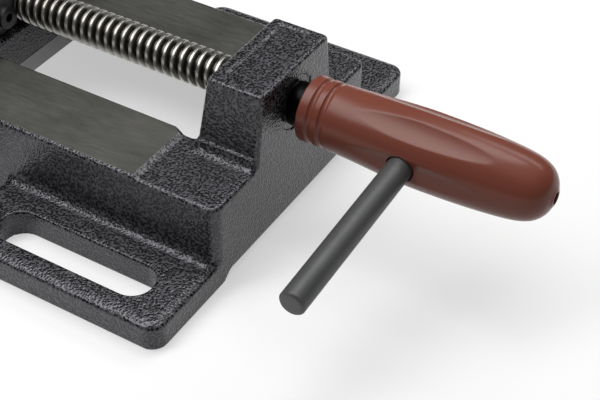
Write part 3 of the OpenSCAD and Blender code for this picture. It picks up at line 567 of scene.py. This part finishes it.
# %% [markdown]
# ## The moving jaw
#
# The moving jaw is a second casting: an upright wall for the jaw plate, a sole that slides on the ways, a
# boss for the screw's nose between two sloping ribs, and a tongue that runs between the rails. It is made in
# the same way.

# %% Sizes of the moving jaw
jaw_low, jaw_high = node_box("moving_jaw")
SEAT_X, REAR_X = jaw_low[0], jaw_high[0]
SOLE_Z, SOLE_TOP, JAW_HALF = 39.3, 50.3, 50.0
WALL_X, WALL_LEAN, WALL_FILLET = SEAT_X + 22, 2.0, 3.0
BOSS_X, BOSS_HALF, BOSS_TOP, BOSS_CORNER, BOSS_EDGE, BOSS_FILLET = REAR_X - 9.4, 22.0, 69.5, 2.5, 2.0, 2.0
RIB_Y, RIB_HALF, RIB_TOP, RIB_EDGE, RIB_FILLET = 38.0, 4.0, 67.0, 1.2, 1.5
RIB_FOOT, RIB_RUN, RIB_DROP = 5.0, 24.0, 17.7
TONGUE_HALF, TONGUE_UNDER, TONGUE_INSET, TONGUE_CORNER = 21.95, 26.7, 2.0, 0.5
POCKET_HALF, POCKET_Z, NOSE_R, NOSE_PAD_X = 20.5, 43.6, 6.05, -41.53


# %% Distance of the moving jaw
def jaw_distance(x, y, z):
    """Signed distance to the moving jaw: wall, sole, ribs, boss and tongue, less the pocket and the bore."""
    share = (z - SOLE_Z) / (JAW_TOP - SOLE_Z)
    profile = fillet_or(x - WALL_X + WALL_LEAN * share, z - SOLE_TOP, WALL_FILLET)
    profile = eased_and(profile, z - JAW_TOP, BLOCK_EDGE)
    boss_foot, boss_head = (SEAT_X, BOSS_X, BOSS_HALF), (SEAT_X, BOSS_X, BOSS_HALF - 1)
    boss = drafted(x, y, z, boss_foot, boss_head, SOLE_Z, BOSS_TOP, BOSS_CORNER, BOSS_EDGE)
    rib_line = (x - REAR_X + RIB_FOOT) * RIB_DROP + (z - SOLE_TOP + 1) * RIB_RUN
    rib_line = rib_line / math.hypot(RIB_RUN, RIB_DROP)
    rib_sides = np.abs(np.abs(y) - RIB_Y) - RIB_HALF
    ribs = np.maximum(eased_and(rib_sides, rib_line, RIB_EDGE), z - RIB_TOP)
    solid = fillet_or(fillet_or(profile, ribs, RIB_FILLET), boss, BOSS_FILLET)
    outline = plan(x, y, (SEAT_X - 12, -JAW_HALF), (REAR_X, JAW_HALF), CAST_EDGE)
    solid = eased_and(solid, outline, CAST_EDGE)
    solid = eased_and(np.maximum(solid, SOLE_Z - z), SEAT_X - x, MILLED_EDGE)
    tongue_low, tongue_high = (SEAT_X + TONGUE_INSET, -TONGUE_HALF), (REAR_X - TONGUE_INSET, TONGUE_HALF)
    tongue = plan(x, y, tongue_low, tongue_high, TONGUE_CORNER)
    tongue = np.maximum(tongue, np.maximum(z - SOLE_Z - 1, TONGUE_UNDER - z))
    pocket = np.maximum(np.maximum(BOSS_X - x, np.abs(y) - POCKET_HALF), POCKET_Z - z)
    solid = eased_and(np.minimum(solid, tongue), -pocket, BORE_EDGE)
    return eased_and(solid, -np.maximum(rod_x(y, z, NOSE_R), NOSE_PAD_X - x), BORE_EDGE)


# %% Skin of the moving jaw
x_marks = [SEAT_X, SEAT_X + 2, WALL_X - 1, WALL_X + 2, BOSS_X, REAR_X]
y_marks = [JAW_HALF, RIB_Y + RIB_HALF, RIB_Y - RIB_HALF, BOSS_HALF, POCKET_HALF, TONGUE_HALF, NOSE_R]
y_marks += [-mark for mark in y_marks]
z_marks = [TONGUE_UNDER, SOLE_Z, POCKET_Z, SOLE_TOP, BOSS_TOP, JAW_TOP]
jaw_lines = (
    rulings(SEAT_X, REAR_X, x_marks, 0.45, 2.4),
    rulings(-JAW_HALF, JAW_HALF, y_marks, 0.45, 2.4),
    rulings(TONGUE_UNDER, JAW_TOP, z_marks, 0.45, 2.2),
)
print("jaw grid", [len(line) for line in jaw_lines])
points, faces, normals = skin(jaw_distance, *jaw_lines)
make_piece("moving_jaw_skin", points, faces, cast_finish, "jaw", "moving_jaw", "cast_body", normals)

# %% [markdown]
# ## A turned piece with a cross hole
#
# The shank and the grip are round, and the tommy bar goes straight through both. A lathe gives the round
# shape: a profile carried round the axis. To let the hole in without cutting, the surface is split along two
# lines, at the bar's near and far side. Inside the hole's length each line opens into the two lips of a
# round hole: a lip stands off the bar's axis by the square root of (hole radius squared minus distance along
# the screw squared).

# %% Drilled lathe
BAR_ANGLE = math.atan2(BAR_AXIS[2], BAR_AXIS[1])
bar_low, bar_high = node_box("tommy_bar")
BAR_X = (bar_low[0] + bar_high[0]) / 2
print("bar at x", round(BAR_X, 2), "angle", round(math.degrees(BAR_ANGLE), 2))


def round_places(along, radius, angle):
    """Points at a distance along the screw, a radius from its axis and an angle from +Y towards +Z."""
    y, z = radius * np.cos(angle), radius * np.sin(angle) + SCREW_Z
    return np.stack(np.broadcast_arrays(along, y, z), axis=-1)


def drilled_lathe(along, radius_at, hole_r, steps):
    """Two half surfaces round the screw's axis, each a grid of stations by angles, open at the bar's hole.

    radius_at(angle) gives the radius at every station for an array of angles, one row for each station.
    """
    half_width = np.sqrt(np.maximum(hole_r**2 - (along - BAR_X) ** 2, 0))[:, None]
    share = np.linspace(0, 1, steps + 1)[None, :]
    halves = []
    for start in (BAR_ANGLE, BAR_ANGLE + math.pi):
        lips = []
        for seam, way in ((start, 1), (start + math.pi, -1)):
            opened = np.zeros_like(half_width)
            for _ in range(6):
                radius = np.maximum(radius_at(seam + way * opened), 1e-6)
                opened = np.arcsin(np.clip(half_width / radius, 0, 1))
            lips.append(opened)
        angle = start + lips[0] + (math.pi - lips[0] - lips[1]) * share
        halves.append(round_places(along[:, None], radius_at(angle), angle))
    return np.stack(halves)


def hole_stations(hole_r, steps=28):
    """Stations across the bar's hole, at even angles round it, so crowded towards its two ends."""
    return BAR_X - hole_r * np.cos(np.linspace(0, math.pi, steps + 1))


# %% [markdown]
# ## The lead screw
#
# The screw has a rolled trapezoidal thread. Its profile over one pitch, a flat crest, two leaning flanks and
# a flat root, is carried along a helix. A real rolled thread has no sharp edges, so the profile is smoothed a
# little before it is carried. At both ends the thread fades into its root, as a thread runs out. The nose,
# the shoulder and the drilled shank are lathe work on the same angles, so their rings meet the thread point
# for point. The crests are rubbed bright and the roots are coloured much darker. The shoulder behind the grip
# is coloured near black: painted shade from the grip.

# %% Screw steel
RUBBED_FROM, RUBBED_FULL = 6.1 * MM, 7.9 * MM
SHOULDER_SHADE_FROM, SHOULDER_SHADE_FULL = 116.5 * MM, 117.5 * MM
f = Finish("oiled_screw_steel")
across = f.parts(f.place)
axis_gap = f.calc("SUBTRACT", across["Z"], SCREW_Z * MM)
from_axis = f.calc("SQRT", f.calc("ADD", f.calc("POWER", across["Y"], 2.0), f.calc("POWER", axis_gap, 2.0)))
crest = f.ramp(from_axis, RUBBED_FROM, RUBBED_FULL)
smear = f.noise(5, 4.0, 0.6)
lines = f.noise(0.5, 3.0, 0.6, f.stretched((1.0, 0.12, 0.12)))
oil = f.calc("MULTIPLY", f.ramp(smear, 0.35, 0.75), 0.35)
worn = f.blend(oil, (0.46, 0.45, 0.42), (0.27, 0.25, 0.21))
# The thread roots are coloured much darker than the crests.
thread = f.blend(crest, (0.085, 0.08, 0.07), worn)
# The shoulder behind the grip is coloured near black: painted shade from the grip over it.
shoulder_shade = f.ramp(across["X"], SHOULDER_SHADE_FROM, SHOULDER_SHADE_FULL)
f.set(Base_Color=f.blend(shoulder_shade, thread, (0.007, 0.007, 0.007)), Metallic=1.0)
f.set(Roughness=f.between(lines, 0.24, 0.4))
f.bump(f.calc("ADD", lines, smear), 0.02)
screw_finish = f.done()

# %% Thread
THREAD_X, SHOULDER_X, ROOT, CREST = -14.9, 118.5, 5.75, 8.0
CREST_W, FOOT_W, ROLLED_EDGE, FADE = 0.366 * PITCH, 0.668 * PITCH, 0.22, 2.2
TOOTH_AT_Y = -12.0  # where the middle of a tooth crosses the +Y side
TURN_STEPS, PROFILE_STEPS = 80, 24


def tooth_radius(offset):
    """Thread radius at a distance from the middle of a tooth: the trapezoid, averaged over a short window."""
    window = np.linspace(-ROLLED_EDGE, ROLLED_EDGE, 23)
    gap = np.abs(offset[..., None] + window)
    share = np.clip((FOOT_W / 2 - gap) / (FOOT_W / 2 - CREST_W / 2), 0, 1)
    return ROOT + (CREST - ROOT) * share.mean(axis=-1)


def thread_surface():
    """Grid of the thread: the profile over one pitch, moved along the axis by one pitch for each turn."""
    first_turn = math.floor((THREAD_X - TOOTH_AT_Y) / PITCH) - 1
    last_turn = math.ceil((SHOULDER_X - TOOTH_AT_Y) / PITCH) + 1
    steps = np.arange(first_turn * TURN_STEPS, last_turn * TURN_STEPS + 1)
    angle = BAR_ANGLE + 2 * math.pi * steps / TURN_STEPS
    offset = np.linspace(-PITCH / 2, PITCH / 2, PROFILE_STEPS + 1)
    along = TOOTH_AT_Y + PITCH * angle[:, None] / (2 * math.pi) + offset
    fade = np.clip(np.minimum(along - THREAD_X, SHOULDER_X - along) / FADE, 0, 1)
    radius = ROOT + (tooth_radius(offset) - ROOT) * fade
    return round_places(np.clip(along, THREAD_X, SHOULDER_X), radius, angle[:, None])


# %% Turned ends
def rounded_steps(corners, ease=0.35, count=5):
    """Rows of (along, radius) through the corners, each inner corner replaced by a short quadratic curve."""
    corners = np.asarray(corners, dtype=float)
    t = np.linspace(0, 1, count)[:, None]
    rows = [corners[:1]]
    for before, at, after in zip(corners[:-2], corners[1:-1], corners[2:]):
        reach = [min(ease, 0.45 * np.linalg.norm(other - at)) for other in (before, after)]
        a = at + (before - at) / np.linalg.norm(before - at) * reach[0]
        b = at + (after - at) / np.linalg.norm(after - at) * reach[1]
        rows.append((1 - t) ** 2 * a + 2 * t * (1 - t) * at + t**2 * b)
    return np.concatenate(rows + [corners[-1:]])


def turned(corners):
    """Grid of a profile through (along, radius) corners, each eased, carried round the screw's axis."""
    profile = rounded_steps(corners)
    angle = BAR_ANGLE + 2 * math.pi * np.arange(TURN_STEPS + 1) / TURN_STEPS
    return round_places(profile[:, :1], profile[:, 1:], angle)


# %% Lead screw
NOSE_X, NOSE, NOSE_BEVEL, GROOVE_X, GROOVE = -37.5, 6.0, 0.8, -20.5, 4.2
SHOULDER, SHANK, SHANK_X, SHANK_START, SHANK_END = 8.8, 8.0, 124.0, 128.0, 210.0
SHANK_HOLE, SHANK_ROWS = 5.05, 12
nose = [(NOSE_X, 0), (NOSE_X, NOSE - NOSE_BEVEL), (NOSE_X + NOSE_BEVEL, NOSE), (GROOVE_X, NOSE)]
nose += [(GROOVE_X, GROOVE), (THREAD_X, GROOVE), (THREAD_X, ROOT)]
shoulder = [(SHOULDER_X, ROOT), (SHOULDER_X, SHOULDER), (SHANK_X, SHOULDER), (SHANK_X, SHANK)]
shoulder += [(SHANK_START, SHANK)]
across_hole = hole_stations(SHANK_HOLE)
before_hole = np.linspace(SHANK_START, across_hole[0], SHANK_ROWS)[:-1]
after_hole = np.linspace(across_hole[-1], SHANK_END, SHANK_ROWS)[1:]
shank_along = np.concatenate([before_hole, across_hole, after_hole])
hole_rows = slice(len(before_hole), len(before_hole) + len(across_hole))


def shank_radius_at(angle):
    """The same radius at every station and angle."""
    return SHANK + 0 * angle + 0 * shank_along[:, None]


grids = [turned(nose), thread_surface(), turned(shoulder)]
for half in drilled_lathe(shank_along, shank_radius_at, SHANK_HOLE, TURN_STEPS // 2):
    grids += [half, np.stack([half[hole_rows, 0], half[hole_rows, -1]], axis=1)]
grids.append(turned([(SHANK_END, SHANK), (SHANK_END, 0)]))
make_piece("lead_screw_turned", *joined(grids), screw_finish, "screw", "lead_screw", "screw_steel")

# %% [markdown]
# ## The grip
#
# The grip is moulded in a brown plastic. Its outline has two bands beside the block, a barrel that swells
# slowly, and a round nose with a hole in its tip. Six long flutes are straight round hollows that start and
# end on the barrel's skin, as a cutter would leave them. Cutting them out of a mesh would leave ragged
# edges, so the surface is the smaller of the barrel's radius and the hollow's, blended a little at the edge.

# %% Brown plastic
f = Finish("brown_moulded_plastic")
swirl = f.noise(22, 4.0, 0.6, f.stretched((0.35, 1.0, 1.0)))
speck = f.noise(0.9, 2.0, 0.5)
f.set(Base_Color=f.blend(swirl, (0.178, 0.05, 0.031), (0.225, 0.064, 0.042)))
f.set(Roughness=f.between(speck, 0.22, 0.29), Specular_IOR_Level=0.26)
f.bump(f.calc("ADD", f.calc("MULTIPLY", speck, 0.3), f.noise(6.0, 2.0, 0.5)), 0.03)
grip_finish = f.done()

# %% Outline of the grip
grip_low, grip_high = node_box("handle_grip")
GRIP_X, GRIP_L = grip_low[0], grip_high[0] - grip_low[0]
BAND_R, GROOVE_DEPTH, GRIP_GROOVES = 12.95, 0.75, ((5.1, 1.15), (10.0, 1.25))
BARREL_X, BARREL_START, GRIP_R, WIDEST, NOSE_TAPER, NOSE_POWER = 11.3, 13.0, 14.8, 47.0, 3.3, 12.0
FLUTE_L, FLUTE_AT, FLUTE_R, FLUTES, FIRST_FLUTE = 56.0, 49.2, 16.0, 6, math.radians(90 + 31)
SOFTEN = 0.12
print("grip", round(GRIP_L, 2), "long, starts at x", round(GRIP_X, 2))


def barrel_radius(x):
    """Radius of the barrel: an eased swell up to the widest place, then a taper with a round end."""
    u = np.clip((x - BARREL_X) / (WIDEST - BARREL_X), 0, 1)
    v = np.clip((x - WIDEST) / (GRIP_L - WIDEST), 0, 1)
    swell = BARREL_START + (GRIP_R - BARREL_START) * u * u * (3 - 2 * u)
    return (swell - NOSE_TAPER * v * v) * np.sqrt(1 - v**NOSE_POWER)


def outline_radius(x):
    """Radius of bands, grooves and barrel, averaged over a short window so that the edges are soft."""
    at = x[..., None] + np.linspace(-SOFTEN, SOFTEN, 15)
    radius = np.where(at < BARREL_X, BAND_R, barrel_radius(at))
    for middle, half in GRIP_GROOVES:
        radius -= GROOVE_DEPTH * np.sqrt(np.maximum(1 - ((at - middle) / half) ** 2, 0))
    return np.where(x < WIDEST, radius.mean(axis=-1), barrel_radius(x))


def flute_floor(x):
    """Distance of a flute's deepest line from the axis: straight from skin to skin."""
    first, last = barrel_radius(FLUTE_AT + FLUTE_L * np.array([-0.5, 0.5]))
    return (first + last) / 2 + (last - first) * (x - FLUTE_AT) / FLUTE_L


def fluted(x, radius, angle, blend=0.03):
    """The smaller of a radius and the nearest flute's hollow, blended over a short range.

    A hollow of radius R, centred D from the axis, meets a ray at an angle from the flute's middle at
    D cos(angle) - sqrt(R^2 - D^2 sin(angle)^2).
    """
    step = 2 * math.pi / FLUTES
    off = (angle - FIRST_FLUTE + step / 2) % step - step / 2
    centre = flute_floor(x) + FLUTE_R
    hollow = centre * np.cos(off) - np.sqrt(FLUTE_R**2 - (centre * np.sin(off)) ** 2)
    return (radius + hollow) / 2 - np.sqrt(((radius - hollow) / 2) ** 2 + blend**2)


# %% Profile of the grip
TIP_R, TIP_RIM, BORE_R, BORE_END, GRIP_HOLE = 2.3, 3.1, 8.03, 85.03, 5.6
EDGE_START, EDGE_END, EDGE_EASE, NOSE_TURN = 0.35, 0.7, 0.5, math.radians(81.5)
BAND_ROWS, BARREL_ROWS, NOSE_ROWS, BORE_ROWS = 96, 36, 70, 10
across_hole = hole_stations(GRIP_HOLE) - GRIP_X
over_bands = np.linspace(EDGE_START, BARREL_X + 1, BAND_ROWS)[:-1]
up_to_hole = np.linspace(BARREL_X + 1, across_hole[0], BARREL_ROWS)[:-1]
lead = np.concatenate([over_bands, up_to_hole])
nose_turn = np.linspace(0, NOSE_TURN, NOSE_ROWS)[1:]
round_nose = across_hole[-1] + (GRIP_L - across_hole[-1]) * np.sin(nose_turn)
outside = np.concatenate([lead, across_hole, round_nose])
wall = np.stack([outside, outline_radius(outside)], axis=1)
edge = [(0, BORE_R), (0, wall[0, 1]), (EDGE_END, wall[0, 1])]
edge = rounded_steps(edge, EDGE_EASE)[:-1]
tip = [wall[-1], (GRIP_L, TIP_RIM), (GRIP_L, TIP_R), (BORE_END, TIP_R)]
tip = rounded_steps(tip, EDGE_EASE)[1:]
bore_floor = np.array([(BORE_END, TIP_R), (BORE_END, BORE_R)])
bore_inner = np.linspace(BORE_END, across_hole[-1], BORE_ROWS)[1:-1]
bore_outer = np.linspace(across_hole[0], 0, BORE_ROWS)[1:]
bore_along = np.concatenate([bore_inner, across_hole[::-1], bore_outer])
bore = np.stack([bore_along, np.full(len(bore_along), BORE_R)], axis=1)
grip_along, grip_radius = np.concatenate([edge, wall, tip, bore_floor, bore]).T
is_barrel = np.zeros(len(grip_along), dtype=bool)
is_barrel[len(edge) : len(edge) + len(wall)] = True
is_barrel &= grip_along > BARREL_X + 0.5
print("grip stations", len(grip_along), "fluted", is_barrel.sum())


# %% Handle grip
def grip_radius_at(angle):
    """Radius at every station: the profile's own, and fluted on the barrel."""
    plain = grip_radius[:, None] + 0 * angle
    return np.where(is_barrel[:, None], fluted(grip_along[:, None], plain, angle), plain)


GRIP_STEPS = 110
outer_rows = len(edge) + len(lead) + np.arange(len(across_hole))
inner_rows = len(grip_along) - len(bore_outer) - 1 - np.arange(len(across_hole))
grids = []
for half in drilled_lathe(grip_along + GRIP_X, grip_radius_at, GRIP_HOLE, GRIP_STEPS):
    grids.append(half)
    grids += [np.stack([half[outer_rows, lip], half[inner_rows, lip]], axis=1) for lip in (0, -1)]
make_piece(
    "handle_grip_moulded", *joined(grids),
    grip_finish, "screw", "handle_grip", "brown_grip", crease=50,
)

# %% [markdown]
# ## The tommy bar
#
# A plain turned bar in black oxide, with chamfered ends. A cylinder with bevelled rims would come close. A
# lathe profile along the bar's own axis gives the exact chamfer and needs no fitting.

# %% Black oxide
f = Finish("black_oxide_steel")
haze = f.noise(9, 4.0, 0.6)
rings = f.noise(0.5, 3.0, 0.6)
f.set(Base_Color=f.blend(haze, (0.07, 0.071, 0.073), (0.11, 0.111, 0.113)), Metallic=0.3)
f.set(Roughness=f.between(rings, 0.4, 0.54))
f.bump(f.calc("ADD", f.calc("MULTIPLY", rings, 0.4), f.noise(2.5, 3.0, 0.5)), 0.03)
black_finish = f.done()

# %% Tommy bar
BAR_R, BAR_L, BAR_REACH, BAR_BEVEL, BAR_STEPS = 5.0, 100.0, 88.2, 0.8, 64
near_half = [(0, 0), (0, BAR_R - BAR_BEVEL), (BAR_BEVEL, BAR_R), (BAR_L / 2, BAR_R)]
near_half = rounded_steps(near_half, 0.3, 6)
far_half = near_half[::-1] * (-1, 1) + (BAR_L, 0)
profile = np.concatenate([near_half, far_half[1:]])
along_screw = np.array([1.0, 0, 0])
side = np.cross(BAR_AXIS, along_screw)
turns = np.linspace(0, 2 * math.pi, BAR_STEPS + 1)[None, :, None]
reach = (BAR_REACH - BAR_L + profile[:, 0])[:, None, None] * BAR_AXIS
spread = profile[:, 1][:, None, None] * (np.cos(turns) * along_screw + np.sin(turns) * side)
bar_points = reach + spread + np.array([BAR_X, 0, SCREW_Z])
make_piece(
    "tommy_bar_turned", *joined([bar_points]),
    black_finish, "bar", "tommy_bar", "black_bar", crease=60,
)

# %% [markdown]
# ## Finishes of the small parts
#
# The jaw plates, fasteners, nut and keeper keep their CAD shapes, which are already right. Each gets a
# finish with the marks of its making: ground steel has fine parallel lines, plated parts a faint haze, and
# the bronze nut turning rings. The nut's end is painted over with the casting, because the vise was painted
# after the nut went in.

# %% Small finishes
NUT_PAINT_FROM, NUT_PAINT_FULL = 116.5 * MM, 117.3 * MM
EVEN = (1, 1, 1)


def ground_metal(name, dark, light, rough, grain_way, grain_size=0.45):
    """Metal with fine grinding lines that run across the axes with large factors."""
    f = Finish(name)
    lines = f.noise(grain_size, 3.0, 0.6, f.stretched(grain_way))
    haze = f.noise(14, 3.0, 0.55)
    f.set(Base_Color=f.blend(haze, dark, light), Metallic=1.0)
    f.set(Roughness=f.between(lines, *rough))
    f.bump(lines, 0.02)
    return f.done()


f = Finish("bronze_with_painted_end")
rings = f.noise(0.45, 3.0, 0.6, f.stretched((1, 0.3, 0.3)))
dimples = f.noise(0.9, 1.0, 0.5)
painted = f.ramp(f.parts(f.place)["X"], NUT_PAINT_FROM, NUT_PAINT_FULL)
f.set(Base_Color=f.blend(painted, (0.41, 0.3, 0.125), (0.025, 0.025, 0.028)))
f.set(Metallic=f.between(painted, 1.0, 0.0))
f.set(Roughness=f.between(painted, f.between(rings, 0.28, 0.45), 0.14))
f.bump(f.between(painted, f.calc("MULTIPLY", rings, 0.1), dimples), 0.21)
nut_finish = f.done()

plate = ground_metal("ground_plate", (0.3, 0.3, 0.29), (0.4, 0.4, 0.39), (0.52, 0.66), (1, 0.05, 1))
sawn = ground_metal("sawn_steel", (0.26, 0.26, 0.26), (0.36, 0.36, 0.36), (0.5, 0.66), (0.2, 1, 1))
pad = ground_metal("hardened_pad", (0.34, 0.34, 0.34), (0.42, 0.42, 0.42), (0.28, 0.4), EVEN)
zinc = ground_metal("zinc_plate", (0.48, 0.49, 0.52), (0.6, 0.61, 0.64), (0.22, 0.36), EVEN, 1.2)
black = ground_metal("black_screws", (0.045, 0.046, 0.05), (0.075, 0.076, 0.08), (0.3, 0.45), EVEN, 0.8)

# %% Finishes on the CAD nodes
small_finishes = {
    "fixed_jaw_plate moving_jaw_plate": plate,
    "screw_nut": nut_finish,
    "retainer_plate keeper_plate": sawn,
    "thrust_pad": pad,
    "keeper_flat_washers keeper_lock_washers keeper_bolts": zinc,
    "nut_lock_screw fixed_plate_screws moving_plate_screws retainer_screws": black,
}
for names, finish in small_finishes.items():
    for name in names.split():
        slots = nodes[name].data.materials
        slots.clear()
        slots.append(finish)
print("finishes on CAD nodes:", sum(len(names.split()) for names in small_finishes))

# %% [markdown]
# ## The room
#
# The photograph is a studio picture on a white floor. A long strip lamp hangs overhead, to the left and
# across the screw: its place was read from the bright bands on the grip, since a glossy round piece mirrors
# the lamps. A smaller lamp behind draws the thin bright lines on edges that face the grip's end. The sky is
# brighter overhead and darker at the horizon, which keeps upright faces dark. The floor is white to the
# camera and in mirror images, through the Light Path node, while as a lamp for the vise it stays a plain
# grey.

# %% Floor
FLOOR_HALF, FLOOR_GLOW = 4.0, 0.5
f = Finish("studio_floor")
rays = f.node("ShaderNodeLightPath").outputs
mirrored = f.calc("MAXIMUM", rays["Is Glossy Ray"], rays["Is Transmission Ray"])
seen = f.calc("MAXIMUM", rays["Is Camera Ray"], mirrored)
f.set(Base_Color=(0.5, 0.5, 0.5, 1), Roughness=0.9, Specular_IOR_Level=0.0)
f.set(Emission_Color=(1, 1, 1, 1), Emission_Strength=f.calc("MULTIPLY", seen, FLOOR_GLOW))
floor_mesh = bpy.data.meshes.new("floor")
corners = [(x * FLOOR_HALF, y * FLOOR_HALF, 0) for x, y in ((-1, -1), (1, -1), (1, 1), (-1, 1))]
floor_mesh.from_pydata(corners, [], [(0, 1, 2, 3)])
floor_mesh.materials.append(f.done())
floor = bpy.data.objects.new("floor", floor_mesh)
bpy.context.scene.collection.objects.link(floor)

# %% Sky
SKY_LEVELS = {"From Min": 0.7, "From Max": 1.0, "To Min": 0.12, "To Max": 0.7}
world = bpy.data.worlds.new("studio")
world.use_nodes = True
bpy.context.scene.world = world
tree = world.node_tree
sky_place = tree.nodes.new("ShaderNodeTexCoord")
sky_parts = tree.nodes.new("ShaderNodeSeparateXYZ")
sky_level = tree.nodes.new("ShaderNodeMapRange")
sky_level.interpolation_type = "SMOOTHSTEP"
tree.links.new(sky_place.outputs["Generated"], sky_parts.inputs[0])
tree.links.new(sky_parts.outputs["Z"], sky_level.inputs["Value"])
for key, value in SKY_LEVELS.items():
    sky_level.inputs[key].default_value = value
tree.links.new(sky_level.outputs["Result"], tree.nodes["Background"].inputs["Strength"])
tree.nodes["Background"].inputs["Color"].default_value = (1, 1, 1, 1)
print("sky", SKY_LEVELS["To Min"], "at the horizon", SKY_LEVELS["To Max"], "overhead")


# %% Lamps
def soft_box(name, place, width, length, turn, power):
    """A level area lamp at a place in metres, its length turned from the Y axis by an angle in degrees."""
    lamp = bpy.data.lights.new(name, "AREA")
    lamp.shape = "RECTANGLE"
    lamp.size, lamp.size_y = width, length
    lamp.energy = power
    holder = bpy.data.objects.new(name, lamp)
    holder.location = place
    holder.rotation_euler = (0, 0, math.radians(turn))
    bpy.context.scene.collection.objects.link(holder)
    print(name, power, "W")


soft_box("strip_lamp", (-0.47, -0.25, 1.4), width=0.55, length=2.3, turn=-30, power=21)
soft_box("back_lamp", (0.35, 1.35, 1.4), width=1.2, length=0.5, turn=0, power=9)
bpy.context.scene.view_settings.view_transform = "Standard"
